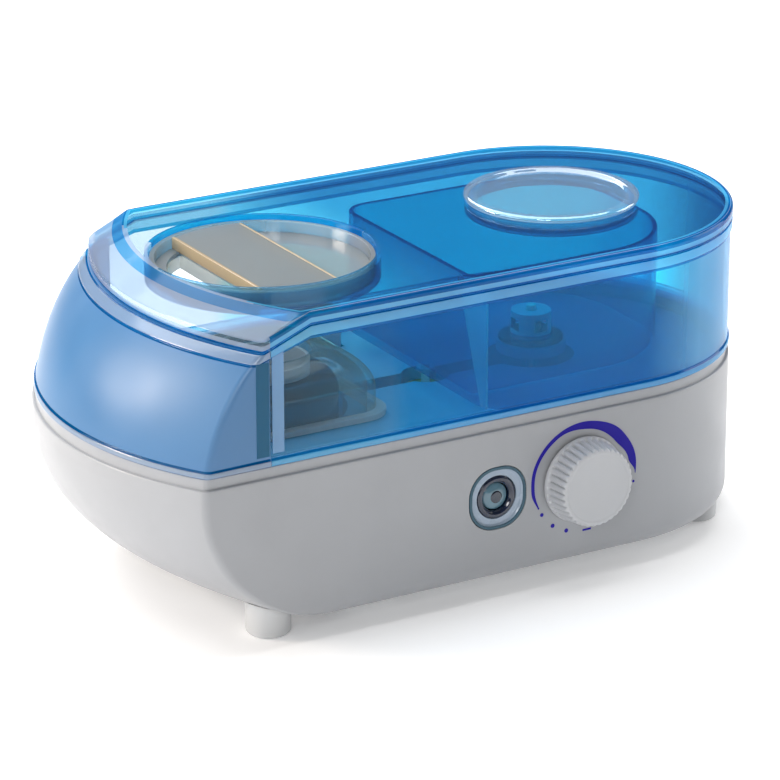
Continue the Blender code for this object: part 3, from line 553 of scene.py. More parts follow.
# Painted shade: the dark lines at the seams and rounded edges, and on the collar's far wall.
SEAM_SHADE_BLUE = clear("seam_shade_blue", (0.02, 0.5, 0.78), (0, 0.2, 0.5), 0.45, (0, 0.2, 0.5))
COLLAR_BLUE = clear("collar_blue", (0.42, 0.72, 0.88), (0.04, 0.32, 0.62), 0.22, (0.1, 0.42, 0.66), 0.05)
RESERVOIR_BLUE = clear("reservoir_blue", (0.06, 0.88, 0.94), (0, 0.42, 0.74), 0.12, (0, 0.48, 0.78), 0.004)
RESERVOIR_RIM = clear("reservoir_rim", (0, 0.36, 0.66), (0, 0.2, 0.5), 0.2, (0, 0.22, 0.52))
HOOD_FROST = clear("hood_frost", (0.3, 0.55, 0.8), (0.06, 0.24, 0.52), 0.9, (0.055, 0.22, 0.46), 0.065, 0.4,
                   0.25, 0)
# Painted shadow of the hood's return wall, behind its joint.
JOINT_SHADOW_TEAL = clear("joint_shadow_teal", (0.16, 0.44, 0.6), (0.04, 0.2, 0.32), 0.6, (0.08, 0.3, 0.46), 0.01, 0.2)
STRIP_PALE = clear("strip_pale", (0.72, 0.86, 0.95), (0.3, 0.55, 0.8), 0.7, (0.26, 0.5, 0.74), 0.05, 0.12)
CAP_CLEAR = clear("cap_clear", (0.76, 0.84, 0.88), (0.4, 0.66, 0.84), 0.18, (0.72, 0.76, 0.8), 0.06, rim=0.75)
# Painted highlight: the filler cap's bright rim and foot.
CAP_HIGHLIGHT = clear("cap_highlight", (0.8, 0.93, 0.99), (0.45, 0.72, 0.92), 0.22, (0.8, 0.92, 1), 0.16, rim=0.75)
GASKET_CLEAR = clear("gasket_clear", (0.85, 0.92, 0.98), (0.55, 0.7, 0.85), 0.35, (0.85, 0.92, 0.98), 0.04, 0.25)
DOME_CLEAR = clear("dome_clear", (0.9, 0.94, 0.96), (0.84, 0.6, 0.36), 0.16, (1, 0.94, 0.88), 0.1)
DOME_FOOT = clear("dome_foot", (0.86, 0.82, 0.78), (0.9, 0.76, 0.58), 0.85, (1, 0.94, 0.88), 0.05, 0.2)
BELL_NAVY = clear("bell_navy", (0.05, 0.2, 0.32), (0, 0.05, 0.1), 0.55, (0, 0.05, 0.11), 0.03)
NOZZLE_AMBER = clear("nozzle_amber", (0.9, 0.8, 0.64), (0.42, 0.24, 0.08), 0.5, (1, 0.84, 0.6), 0.07)
NOZZLE_RING = clear("nozzle_ring", (0.86, 0.87, 0.85), (0.46, 0.4, 0.3), 0.3, (0.88, 0.86, 0.8), 0.1)
NOZZLE_GREY = clear("nozzle_grey", (0.76, 0.8, 0.82), (0.42, 0.44, 0.44), 0.55, (0.52, 0.56, 0.58), 0.05, 0.12)
STACK_GREY = moulded("stack_grey", (0.82, 0.78, 0.74), 0.42)
BEZEL_GREY = moulded("bezel_grey", (0.32, 0.4, 0.5), 0.25, coat=0.4)
BEZEL_EDGE = moulded("bezel_edge", (0.02, 0.08, 0.12), 0.3)
RING_NAVY = moulded("ring_navy", (0.003, 0.01, 0.035), 0.14, coat=0.8)
LENS_BLUE = moulded("lens_blue", (0.1, 0.2, 0.26), 0.1, coat=0.8)
LENS_DARK = moulded("lens_dark", (0.01, 0.02, 0.04), 0.12, coat=0.8)
PRINT_BLUE = moulded("print_blue", (0.008, 0, 0.3), 0.8)
LED_BODY = clear("led_body", (0.6, 0.8, 0.98), (0.3, 0.5, 0.9), 0.1)
BOARD_GREEN = moulded("board_green", (0.01, 0.08, 0.03), 0.4, 400)
PART_BLACK = moulded("part_black", (0.02, 0.02, 0.022), 0.45)
CORE_DARK = moulded("core_dark", (0.03, 0.03, 0.035), 0.5)
FILTER_BLACK = moulded("filter_black", (0.015, 0.015, 0.015), 0.92, 900, 0.0004)
FLOAT_ORANGE = moulded("float_orange", (0.62, 0.2, 0.04), 0.55)
MAGNET_DARK = moulded("magnet_dark", (0.04, 0.04, 0.045), 0.42)
SCREW_STEEL = metal("screw_steel", (0.66, 0.66, 0.67), 0.3)
MOTOR_STEEL = metal("motor_steel", (0.56, 0.57, 0.58), 0.35)
SINK_ALUMINIUM = metal("sink_aluminium", (0.7, 0.71, 0.72), 0.38)
DISC_METAL = metal("disc_metal", (0.74, 0.74, 0.75), 0.22)

CARRIED = (
    (INNER_WHITE, ["bottom_plate", "fan_impeller", "float_stem", "float_clip", "valve_push_pin"]),
    (SCREW_STEEL, [f"bottom_screw_{n}" for n in (1, 2, 3, 4)] + [f"clamp_screw_{n}" for n in (1, 2, 3)]),
    (SINK_ALUMINIUM, ["transducer_clamp", "heat_sink"]),
    (MOTOR_STEEL, ["potentiometer_shaft", "fan_motor"]),
    (PART_BLACK, ["potentiometer", "fan_housing"]),
    (DISC_METAL, ["transducer_disc"]),
    (SEAL_RUBBER, ["transducer_seal"]),
    (BOARD_GREEN, ["driver_board"]),
    (CORE_DARK, ["power_transformer"]),
    (LED_BODY, ["indicator_led"]),
    (FILTER_BLACK, ["intake_filter"]),
    (FLOAT_ORANGE, ["level_float"]),
    (MAGNET_DARK, ["float_magnet"]),
)
for finish, name in [(finish, name) for finish, names in CARRIED for name in names]:
    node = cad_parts[name]
    node.data.materials.clear()
    node.data.materials.append(finish)
    node.data.shade_smooth()
    node.data.set_sharp_from_angle(angle=radians(30))


# ---------------------------------------------------------------- the base

def base_outside(grow=0.0):
    """Rings of the base's outer skin from its bottom edge to its widest level."""
    rings = []
    for step in range(9):
        angle = QUARTER * step / 8
        height = BASE_BOTTOM + EDGE_RADIUS * (1 - cos(angle))
        inset = EDGE_RADIUS * (1 - sin(angle))
        rings.append([(x, y, z - grow) for x, y, z in body_ring(height, inset - grow)])
    first = math.acos((WIDEST - BASE_BOTTOM - EDGE_RADIUS) / (WIDEST - BASE_BOTTOM))
    for step in range(1, 17):
        turn = first + (QUARTER - first) * step / 16
        height = WIDEST - (WIDEST - BASE_BOTTOM) * cos(turn)
        rings.append([(x, y, z - grow) for x, y, z in body_ring(height, -grow)])
    return rings


def make_base():
    rings = [body_ring(BASE_BOTTOM, PLATE_INSET)] + base_outside()
    low, high = 0.0735, STEP - 0.0008
    rings += [body_ring(low + (high - low) * i / 3) for i in range(4)]
    edge = [(0.0001, STEP - 0.0004), (0.0003, STEP - 0.0001), (0.0006, STEP)]
    rings += [body_ring(z, inset) for inset, z in edge]
    rings += [body_ring(STEP, LIP_INSET - 0.0002), body_ring(STEP + 0.0002, LIP_INSET)]
    rings += [body_ring(SEAM - 0.0004, LIP_INSET), body_ring(SEAM, LIP_INSET + 0.0004)]
    rings += [body_ring(SEAM, LIP_INSET + WALL), body_ring(STEP, LIP_INSET + WALL)]
    rings += [body_ring(z, WALL) for z in (STEP - WALL / 2, WIDEST)]
    rings += [body_ring(z, WALL, z - WALL) for z in (0.052, 0.036, 0.025, 0.0165)]
    rings += [body_ring(0.013, 0.0055, 0.0105), body_ring(BASE_BOTTOM + WALL, 0.01, BASE_BOTTOM)]
    rings += [body_ring(BASE_BOTTOM + WALL, PLATE_INSET, BASE_BOTTOM)]
    shell = loft(rings, closed=True)
    front = Matrix.Translation((0, -HALF, 0)) @ Matrix.Rotation(QUARTER, 4, "X")
    knob_hole = rod(0.0045, -0.006, 0.006, at=KNOB)
    light_hole = prism([(x + LIGHT[0], y + LIGHT[1]) for x, y in
                        rounded_rectangle(LIGHT_SIDE, LIGHT_SIDE, LIGHT_SIDE * LIGHT_ROUNDNESS)], -0.006, 0.006)
    gland_hole = rod(0.0055, -0.006, 0.006, at=GLAND)
    for tool in (knob_hole, light_hole):
        tool.transform(front)
    gland_hole.transform(Matrix.Translation((0, HALF, 0)) @ Matrix.Rotation(QUARTER, 4, "X"))
    shell = carved(shell, [knob_hole, light_hole, gland_hole])
    put("base_shell_fine", shell, BASE_WHITE, "base")


def make_feet():
    """Soft feet with a rounded tread, their tops following the shell's underside."""
    under = loft(base_outside(GAP))
    for name, at in FEET.items():
        profile = softened([(0, 0.024), (FOOT_RADIUS, 0.024), (FOOT_RADIUS, 0.0), (0, 0)], 0.0022, closed=False)
        foot = carved(turned(profile, 64, False, at), [under.copy()])
        put(name + "_fine", foot, FOOT_RUBBER, "base")


def make_deck():
    ring = outline(corner_at(DECK_TOP), bow_at(DECK_TOP), WALL + 2 * GAP)
    deck = loft([level(ring, DECK_TOP - DECK_THICK), level(ring, DECK_TOP)])
    inside = DECK_TOP - 0.0001
    channel_low = WELL_FLOOR - DECK_THICK
    channel_x = (MIST[0] + VALVE[0]) / 2 + 0.01
    channel_length = 0.088
    solids = [
        rod(BASIN_RADIUS + DECK_THICK, BASIN_FLOOR - DECK_THICK, inside, MIST, ROUND_STEPS),
        rod(WELL_RADIUS + DECK_THICK, channel_low, inside - 0.0001, VALVE, 64),
        rod(FLOAT_POCKET + DECK_THICK, channel_low, inside - 0.0002, FLOAT_AT, 48),
        block((channel_x, MIST[1], (channel_low + inside) / 2),
              (channel_length, CHANNEL_WIDTH + 2 * DECK_THICK, inside - channel_low - 0.0006)),
    ]
    deck = carved(deck, solids + [rod(0.0045, 0.0113, inside, at, 32) for at in SCREWS], "UNION")
    above = DECK_TOP + 0.01
    hollows = [
        rod(BASIN_RADIUS, BASIN_FLOOR, above, MIST, ROUND_STEPS),
        rod(WELL_RADIUS, WELL_FLOOR, above - 0.0001, VALVE, 64),
        rod(FLOAT_POCKET, WELL_FLOOR + 0.0001, above - 0.0002, FLOAT_AT, 48),
        block((channel_x, MIST[1], (WELL_FLOOR + above) / 2),
              (channel_length + 0.01, CHANNEL_WIDTH, above - WELL_FLOOR - 0.0006)),
        rod(0.0125, BASIN_FLOOR - 0.01, above, MIST, 64),
        block((FAN_X, DUCT_Y, DECK_TOP), (0.025, 0.013, 0.02)),
    ]
    deck = carved(deck, hollows + [rod(0.0019, 0.005, 0.028, at, 24) for at in SCREWS])
    put("basin_deck_fine", deck, DECK_BLUE, "base")


def make_duct():
    wide = rounded_rectangle(0.024, 0.012, 0.0025)
    narrow = rounded_rectangle(0.021, 0.009, 0.0012)
    low, high, lip = 0.0383, 0.095, 0.0004
    tight = [(x * 0.985, y * 0.97) for x, y in wide]
    rings = [level(wide, low), level(wide, high - lip), level(tight, high), level(narrow, high),
             level(narrow, low)]
    put("air_duct_fine", loft(rings, closed=True), INNER_WHITE, "base",
        (FAN_X, DUCT_Y, 0))


def make_gland():
    profile = softened([(0.0028, -0.0001), (0.0052, -0.0001), (0.0052, -0.005), (0.0028, -0.005)], 0.0006)
    put("cord_gland_fine", turned(profile, 48), SEAL_RUBBER, "base",
        (GLAND[0], HALF, GLAND[1]), (-QUARTER, 0, 0))


# ---------------------------------------------------------------- the light and the knob

def make_light():
    at = (LIGHT[0], -HALF, LIGHT[1])
    side = LIGHT_SIDE - 2 * GAP
    rings = []
    for inset, height in ((0.0, -0.004), (0.0, -0.001), (0.0003, -0.0005), (0.001, -0.0003),
                          (0.0016, -0.0006), (0.002, -0.0012)):
        width = side - 2 * inset
        rings.append(level(rounded_rectangle(width, width, width * LIGHT_ROUNDNESS), height))
    face = carved(loft(rings), [rod(0.0101, -0.01, 0.01, steps=64)])
    put("indicator_bezel_fine", face, BEZEL_GREY, "base", at, FACING_FRONT)
    outer = rounded_rectangle(side - 0.0001, side - 0.0001, side * LIGHT_ROUNDNESS)
    inner = rounded_rectangle(side - 0.0026, side - 0.0026, (side - 0.0026) * LIGHT_ROUNDNESS)
    low, high = -0.0006, 0.0001
    rim = loft([level(outer, low), level(outer, high), level(inner, high), level(inner, low)], closed=True)
    put("indicator_rim", rim, BEZEL_EDGE, "base", at, FACING_FRONT)
    ring = softened([(0.0098, -0.0009), (0.0098, -0.004), (0.0066, -0.004), (0.0066, -0.0018),
                     (0.008, -0.0005)], 0.0006)
    put("indicator_ring_fine", turned(ring, 72), RING_NAVY, "base", at, FACING_FRONT)
    lens = softened([(0, -0.0012), (0.0035, -0.0015), (0.0063, -0.0026), (0.0063, -0.0045), (0, -0.0045)],
                    0.0008, closed=False)
    put("indicator_lens_fine", turned(lens, 64, False), LENS_BLUE, "base",
        at, FACING_FRONT)
    pupil = softened([(0, -0.0009), (0.0024, -0.001), (0.003, -0.0014), (0, -0.0014)], 0.0004, closed=False)
    put("indicator_pupil", turned(pupil, 40, False), LENS_DARK, "base", at, FACING_FRONT)


KNOB_RIBS = 36
RIB_POINTS = 8


def knob_ring(radius, height, depth):
    """One outline of the knob; each rib is a rounded ridge as high as the depth."""
    count = KNOB_RIBS * RIB_POINTS
    points = []
    for i in range(count):
        angle = CIRCLE * i / count
        ridge = abs(sin(KNOB_RIBS * angle / 2)) ** 0.6
        out = radius - depth * (1 - ridge)
        points.append((out * cos(angle), out * sin(angle), height))
    return points


def make_knob():
    at = (KNOB[0], -HALF, KNOB[1])
    skirt = 0.0028
    rings = [knob_ring(KNOB_RADIUS - 0.0004, 0.0008, 0), knob_ring(KNOB_RADIUS, 0.0011, 0),
             knob_ring(KNOB_RADIUS, skirt - 0.0004, 0), knob_ring(KNOB_RADIUS - 0.0003, skirt, 0.0002),
             knob_ring(KNOB_RADIUS - 0.0006, skirt + 0.0005, 0.0013)]
    shoulder = KNOB_OUT - 0.002
    rings.append(knob_ring(KNOB_FACE_RADIUS + 0.0011, shoulder, 0.0013))
    for step in range(1, 7):
        angle = QUARTER * step / 6
        out = KNOB_FACE_RADIUS - 0.0009 + 0.002 * cos(angle)
        rings.append(knob_ring(out, shoulder + 0.002 * sin(angle), 0.0013 * cos(angle) ** 2))
    rings.append(knob_ring(KNOB_FACE_RADIUS - 0.0016, KNOB_OUT, 0))
    rings.append(knob_ring(KNOB_FACE_RADIUS - 0.002, KNOB_OUT - 0.00025, 0))
    knob = carved(loft(rings), [rod(0.0033, -0.01, 0.0075, steps=32)])
    put("control_knob_fine", knob, KNOB_WHITE, "knob", at, FACING_FRONT, sharp=40)


# The dial arc by angle, from its low left end round to its right one: inner and outer radius.
DIAL_ARC = ((205, 0.0241, 0.0248), (185, 0.0245, 0.0262), (160, 0.0249, 0.0266), (120, 0.0246, 0.0265),
            (80, 0.023, 0.0267), (40, 0.0226, 0.028), (10, 0.025, 0.0289), (-6, 0.0284, 0.0287))
DIAL_DOTS = ((213, 0.0245, 0.0009), (233, 0.0246, 0.001), (252, 0.0246, 0.001), (-14, 0.0284, 0.0006))


def dial_radii(degrees):
    for (start, *first), (stop, *second) in zip(DIAL_ARC, DIAL_ARC[1:]):
        if stop <= degrees <= start:
            share = (start - degrees) / (start - stop)
            ease = (1 - cos(math.pi * share)) / 2
            return [low + (high - low) * ease for low, high in zip(first, second)]
    return DIAL_ARC[-1][1:]


def make_dial():
    """A printed swelling arc round the knob, with dots past its thin end."""
    at = (KNOB[0], -HALF, KNOB[1])
    low, high = -0.00005, 0.00012
    count = 84
    rings = []
    for i in range(count + 1):
        degrees = DIAL_ARC[0][0] + (DIAL_ARC[-1][0] - DIAL_ARC[0][0]) * i / count
        angle = radians(degrees)
        inner, outer = dial_radii(degrees)
        rings.append([(radius * cos(angle), radius * sin(angle), z)
                      for radius, z in ((inner, low), (outer, low), (outer, high), (inner, high))])
    put("dial_arc", loft(rings), PRINT_BLUE, "base", at, FACING_FRONT)
    dots = []
    for degrees, out, size in DIAL_DOTS:
        angle = radians(degrees)
        dots.append(rod(size, low, high, (out * cos(angle), out * sin(angle)), 24))
    dots.append(block((0.0032, -0.025, (low + high) / 2), (0.0044, 0.0009, high - low)))
    put("dial_marks", merged(*dots), PRINT_BLUE, "base", at, FACING_FRONT)


# ---------------------------------------------------------------- the mist path

def dome_ring(inset, z):
    """The dome's plan is a rounded rectangle that turns into a circle at its mouth."""
    share = inset / (DOME_WIDTH / 2 - DOME_MOUTH)
    half_x = DOME_LENGTH / 2 * (1 - share) + DOME_MOUTH * share
    half_y = DOME_WIDTH / 2 - inset
    rounding = min(max(share, 0.0), 1.0)
    corner = (DOME_CORNER - inset * 0.5) * (1 - rounding) + half_y * 0.98 * rounding
    return level(rounded_rectangle(2 * half_x, 2 * half_y, corner, 14), z)


def make_mist_path():
    at = (*MIST, 0)
    foot = DECK_TOP + GAP
    skin = 0.002
    mouth = DOME_WIDTH / 2 - DOME_MOUTH
    centre = (DOME_CROWN, DOME_TOP - DOME_CROWN)
    shoulder = arc(centre, DOME_CROWN, QUARTER, math.pi, 14)
    under = arc(centre, DOME_CROWN - skin, math.pi, QUARTER, 12)
    flange = softened([(0.0, foot + 0.006), (0.0, foot + 0.003), (-DOME_FLANGE, foot + 0.003),
                       (-DOME_FLANGE, foot), (skin, foot)], 0.0007, closed=False)
    section = [(mouth, DOME_TOP)] + shoulder + flange + under + [(mouth, DOME_TOP - skin)]
    pairs = zip(section, section[1:] + section[:1])
    shades = [1 if (z0 + z1) / 2 < foot + 0.0033 else 0 for (_, z0), (_, z1) in pairs]
    dome = loft([dome_ring(*point) for point in section], closed=True, shades=shades)
    window = block((0.01, DOME_WIDTH / 2, DECK_TOP + 0.013), (0.024, 0.012, 0.008))
    put("mist_dome_fine", carved(dome, [window]), (DOME_CLEAR, DOME_FOOT), "base", at)
    low, crown, rim = BASIN_FLOOR + GAP, 0.009, STACK_RADIUS + 0.001
    shoulder = arc((BELL_RADIUS - crown, BELL_TOP - crown), crown, QUARTER, 0, 10)
    under = arc((BELL_RADIUS - crown, BELL_TOP - crown), crown - skin, 0, QUARTER, 8)
    profile = [(rim, BELL_TOP)] + shoulder + [(BELL_RADIUS, low), (BELL_RADIUS - skin, low)]
    profile += under + [(rim, BELL_TOP - skin)]
    gates = [block((0, 0, low), (0.1, 0.014, 0.016)), block((0, 0, low), (0.014, 0.1, 0.016))]
    put("splash_bell_fine", carved(turned(profile, 96), [gate.copy() for gate in gates]), BELL_NAVY, "base",
        at)
    inner, groove, pitch = STACK_RADIUS - 0.0015, STACK_RADIUS - 0.0009, 0.0042
    ridged = [(inner, STACK_TOP), (STACK_RADIUS, STACK_TOP)]
    for step in range(8):
        height = STACK_TOP - 0.0035 - step * pitch
        ridged += [(STACK_RADIUS, height), (groove, height - 0.0009), (groove, height - 0.0017),
                   (STACK_RADIUS, height - 0.0026)]
    ridged += [(STACK_RADIUS, low), (inner, low)]
    put("mist_stack_fine", carved(turned(ridged, 72), gates), STACK_GREY, "base", at)


# ---------------------------------------------------------------- the upper housing

BAND_LOW = 0.1396
BAND_FOOT = 0.0027


def housing_shade(first, second):
    """0 for a wall, 1 for the painted highlight bands at the top and bottom edges, 2 for the painted shade lines
    beside them.
    """
    inset = (first[0] + second[0]) / 2
    height = (first[1] + second[1]) / 2
    if inset > BEAD + 0.0002:
        return 0
    low = SEAM + GAP
    if height > BAND_LOW - 0.0002:
        return 2 if height > HOUSING_TOP - 0.0002 else 1
    if height > BAND_LOW - 0.0016:
        return 2
    if height < low + 0.0004:
        return 2
    if height < low + BAND_FOOT:
        return 1
    return 2 if height < low + BAND_FOOT + 0.0012 else 0


def housing_mesh():
    low = SEAM + GAP
    section = softened([(LEDGE, low), (0, low), (0, low + BAND_FOOT), (BEAD, low + 0.0034), (BEAD, low + 0.0045),
                        (BEAD, BAND_LOW - 0.0016), (BEAD, BAND_LOW - 0.0007), (0, BAND_LOW), (0, HOUSING_TOP),
                        (BEAD + WALL, HOUSING_TOP), (BEAD + WALL, low + 0.0017), (LEDGE, low + 0.0017)], 0.0007)
    section = stepped(section, 0.004)
    shades = [housing_shade(*pair) for pair in zip(section, section[1:] + section[:1])]
    return loft([housing_ring(z, inset) for inset, z in section], closed=True, shades=shades)


def make_housing():
    reach = 0.3
    # Each half's finishes: the wall, its painted highlight bands and its painted shade lines.
    finishes = {"tank_shell": (-1, (TANK_BLUE, EDGE_HIGHLIGHT_BLUE, SEAM_SHADE_BLUE), "tank_blue"),
                "mist_hood": (1, (HOOD_FROST, BEAD_HIGHLIGHT, SEAM_SHADE_BLUE), "hood_frost")}
    for node, (sign, finish, slot) in finishes.items():
        middle = -HOOD_SPLIT + sign * (reach / 2 - GAP / 2)
        half = carved(housing_mesh(), [block((middle, 0, 0.11), (reach, 0.3, 0.2))])
        put(node + "_fine", half, finish, "tank")
    # A thin dark sheet paints the shadow behind the hood's joint; a pale strip marks the tank's joint flange.
    strips = (("hood_joint_shadow_band", -0.1935, 0.006, 0.089, 0.131, JOINT_SHADOW_TEAL, "hood_frost"),
              ("tank_joint_strip", -0.1862, 0.0055, 0.09, 0.1375, STRIP_PALE, "tank_blue"))
    for name, x, width, low, high, finish, slot in strips:
        size = (width, 0.0004, high - low)
        sides = [block((x, side * (HALF - BEAD), (low + high) / 2), size) for side in (-1, 1)]
        put(name, merged(*sides), finish, "tank")


def make_gusset():
    """A thin triangular rib between the housing's front wall and the vessel's corner."""
    wall, tip, foot_reach = -0.0788, -0.055, -0.0745
    low, high = 0.0886, 0.1425
    corners = [(wall, high), (wall, low), (foot_reach, low), (tip, high)]
    near, far = -0.0824, -0.0814
    # Its thin edges get a painted highlight.
    plate = loft([[(x, y, z) for y, z in corners] for x in (near, far)], shades=[1])
    put("tank_gusset", plate, (TANK_BLUE, PALE_HIGHLIGHT_BLUE), "tank")


def reservoir_outline(inset):
    """The vessel's plan: small corners on the left, large ones on the right."""
    corners = ((RESERVOIR_RIGHT, RESERVOIR_BACK, 0.045, 30), (-RESERVOIR_LEFT, RESERVOIR_BACK, 0.012, 12),
               (-RESERVOIR_LEFT, -RESERVOIR_FRONT, 0.005, 8), (RESERVOIR_RIGHT, -RESERVOIR_FRONT, 0.045, 30))
    points = []
    for number, (x, y, radius, segments) in enumerate(corners):
        centre = (x - math.copysign(radius, x), y - math.copysign(radius, y))
        points += arc(centre, radius - inset, number * QUARTER, (number + 1) * QUARTER, segments)
    return points


def tray_outline():
    """The plate under the vessel, which rests on the housing's ledge and clears the air duct."""
    corner = 0.012
    points = arc((0, 0), TRAY_RADIUS, -QUARTER, math.asin(RESERVOIR_BACK / TRAY_RADIUS), 60)
    points += arc((corner - RESERVOIR_LEFT, RESERVOIR_BACK - corner), corner, QUARTER, 2 * QUARTER, 12)
    points += arc((corner - RESERVOIR_LEFT, corner - TRAY_RADIUS), corner, 2 * QUARTER, 3 * QUARTER, 12)
    return points


def make_reservoir():
    skin = 0.002
    floor, top = RESERVOIR_FLOOR, RESERVOIR_TOP
    section = [(0.0, floor + 0.0004), (0.0, top - 0.0005), (0.0004, top), (skin - 0.0004, top),
               (skin, top - 0.0004), (skin, floor + skin + 0.001), (skin + 0.001, floor + skin)]
    shades = [0, 1, 1, 1, 0, 0]
    vessel = loft([level(reservoir_outline(inset), z) for inset, z in section], shades=shades)
    vessel = carved(vessel, [prism(tray_outline(), floor, floor + skin - 0.0001)], "UNION")
    vessel = carved(vessel, [rod(0.01, floor - 0.01, floor + 0.01, VALVE, 64)])
    put("water_reservoir_fine", vessel, (RESERVOIR_BLUE, RESERVOIR_RIM), "tank")


def make_valve():
    at = (*VALVE, 0)
    seal_low = RESERVOIR_FLOOR - GAP - 0.0015
    seal = softened([(0.015, RESERVOIR_FLOOR - GAP), (0.015, seal_low), (0.0098, seal_low),
                     (0.0098, RESERVOIR_FLOOR - GAP)], 0.0004)
    put("valve_seal_fine", turned(seal, 64), SEAL_RUBBER, "tank", at)
    high = seal_low - GAP
    cap = softened([(0.016, high), (0.016, high - 0.005), (0.0034, high - 0.005), (0.0034, high - 0.003),
                    (0.0096, high - 0.003), (0.0096, high)], 0.0005)
    put("valve_cap_fine", turned(cap, 72), DECK_BLUE, "tank", at)
    seat = high - 0.003
    top, outer, inner = 0.0982, 0.0093, 0.0083
    cage = [(outer, top), (outer, seat + GAP), (inner, seat + GAP), (inner, top - 0.0012),
            (0.0027, top - 0.0012), (0.0027, top)]
    windows_z = RESERVOIR_FLOOR + 0.006
    windows = [block((0, 0, windows_z), (0.03, 0.007, 0.006)), block((0, 0, windows_z), (0.007, 0.03, 0.006))]
    cage = carved(turned(softened(cage, 0.0003), 64), windows)
    put("valve_cage_fine", cage, DECK_BLUE, "tank", at)
    plunger = softened([(0, 0.1005), (0.0022, 0.1005), (0.0022, seat + 0.002), (0.0079, seat + 0.002),
                        (0.0079, seat + GAP), (0.0026, seat + GAP), (0.0026, seat - 0.003), (0, seat - 0.003)],
                       0.0004, closed=False)
    put("valve_plunger_fine", turned(plunger, 48, False), INNER_WHITE, "valve", at)
    make_spring(seat + 0.002 + GAP, top - 0.0012 - GAP, 0.0046)


def make_spring(low, high, radius):
    """The valve's spring: its top stays under the cage's roof and its foot rests on the plunger's flange."""
    wire, turns, steps = 0.0004, 4, 32
    rings = []
    for step in range(turns * steps + 1):
        angle = CIRCLE * step / steps
        height = low + wire + (high - low - 2 * wire) * step / (turns * steps)
        outward = Vector((cos(angle), sin(angle), 0))
        rings.append([outward * (radius + wire * x) + Vector((0, 0, height + wire * z))
                      for x, z in arc((0, 0), 1, 0, CIRCLE * 11 / 12, 11)])
    spring = put("valve_spring_fine", loft(rings), SCREW_STEEL, None, (*VALVE, 0))
    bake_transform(spring)


# ---------------------------------------------------------------- the lid, the nozzle and the filler cap

# Beyond this the lid's skirt follows the bow, where it gets a painted highlight.
BOW_STARTS = -0.187
# The share of the slope, from its crease down, that is tinted like the lid's edge.
CREASE_SHARE = 0.33


COLLAR_DEPTH = 0.012
SHELF = 0.0015
MOUTH_DEPTH = 0.005
# What the ring leaves bare of the collar above it.
BARE = 0.0026
THROUGH = (0.1, 0.2)


def make_lid():
    skin, low = 0.0022, HOUSING_TOP + GAP
    flat = (SLOPE_START, SLOPE_START_BOW)
    soft = 0.0014
    rings = [level(outline(*flat, 0.0036), LID_TOP), level(outline(*flat, 0.0022), LID_TOP),
             level(outline(*flat, soft), LID_TOP - 0.00004)]
    # Shade 2 paints a highlight line and shade 1 a shade line, just inside the top's rim.
    shades = [2, 1]
    foot = lid_ring(LID_TOP - soft * (1 - cos(math.pi / 10)) - 0.00004, soft * (1 - sin(math.pi / 10)))
    crease = [Vector(high).lerp(Vector(edge), CREASE_SHARE) for high, edge in zip(rings[-1], foot)]
    rings.append([tuple(point) for point in crease])
    # The crease band, then the rest of the slope in the painted highlight finish.
    shades += [4, 3]
    # The top's rounded edge and the top of the skirt get painted shade.
    for step in range(1, 6):
        angle = QUARTER * step / 5
        rings.append(lid_ring(LID_TOP - soft * (1 - cos(angle)) - 0.00004, soft * (1 - sin(angle))))
        shades.append(1)
    rings += [lid_ring(LID_TOP - 0.0026, 0), lid_ring(low + 0.001, 0), lid_ring(low + 0.0004, 0.0001),
              lid_ring(low, 0.0004), lid_ring(low, 0.002), lid_ring(low + 0.0004, 0.0024),
              lid_ring(LID_TOP - skin - 0.0002, 0.0024),
              level(outline(flat[0] - 0.001, flat[1], 0.003), LID_TOP - skin)]
    # The skirt gets a painted highlight and its foot at the seam painted shade; the inside stays clear.
    shades += [2, 1, 1, 1, 1, 0, 0]
    lid = loft(rings, shades=shades)
    openings = [rod(NOZZLE_RADIUS + 0.0009, *THROUGH, NOZZLE, ROUND_STEPS),
                rod(FILLER_RADIUS - 0.0015, *THROUGH, (0, 0), ROUND_STEPS)]
    lid = carved(lid, openings)
    collar_low = LID_TOP - COLLAR_DEPTH
    shelf = collar_low + SHELF
    collar = softened([(NOZZLE_RADIUS + 0.0018, LID_TOP + 0.0001), (NOZZLE_RADIUS + 0.0018, collar_low),
                       (NOZZLE_RADIUS - 0.0045, collar_low), (NOZZLE_RADIUS - 0.0045, shelf),
                       (NOZZLE_RADIUS, shelf), (NOZZLE_RADIUS, LID_TOP - BARE),
                       (NOZZLE_RADIUS, LID_TOP + 0.0001)], 0.0004)
    neck = FILLER_RADIUS - 0.0022
    filler = softened([(neck + 0.0016, LID_TOP - 0.0001), (neck + 0.0016, LID_TOP - 0.006),
                       (neck, LID_TOP - 0.006), (neck, LID_TOP - 0.0001)], 0.0003)
    lid.materials.append(None)
    collar = turned(collar, ROUND_STEPS, at=NOZZLE)
    # The collar's inner wall above the ring, at the back, gets painted shade; the rest has the collar's own
    # tint.
    for face in collar.polygons:
        seen_past_the_ring = face.center.z > LID_TOP - BARE and face.center.y > 0
        face.material_index = 1 if seen_past_the_ring else 5
    lid = carved(lid, [collar, turned(filler, ROUND_STEPS)], "UNION")
    # On the bow, the highlight lines and the shade lines that face up get the slope's painted highlight; the
    # other shade lines there stay clear.
    for face in lid.polygons:
        on_bow = face.center.x < BOW_STARTS and face.center.z > low + 0.001 - SLOPE_DROP
        if on_bow and face.material_index in (1, 2):
            face.material_index = 3 if face.material_index == 2 or face.normal.z > 0.25 else 0
    finishes = (LID_BLUE, SEAM_SHADE_BLUE, EDGE_HIGHLIGHT_BLUE, PALE_HIGHLIGHT_BLUE, CREASE_BLUE, COLLAR_BLUE)
    put("lid_fine", lid, finishes, "lid", sharp=28)


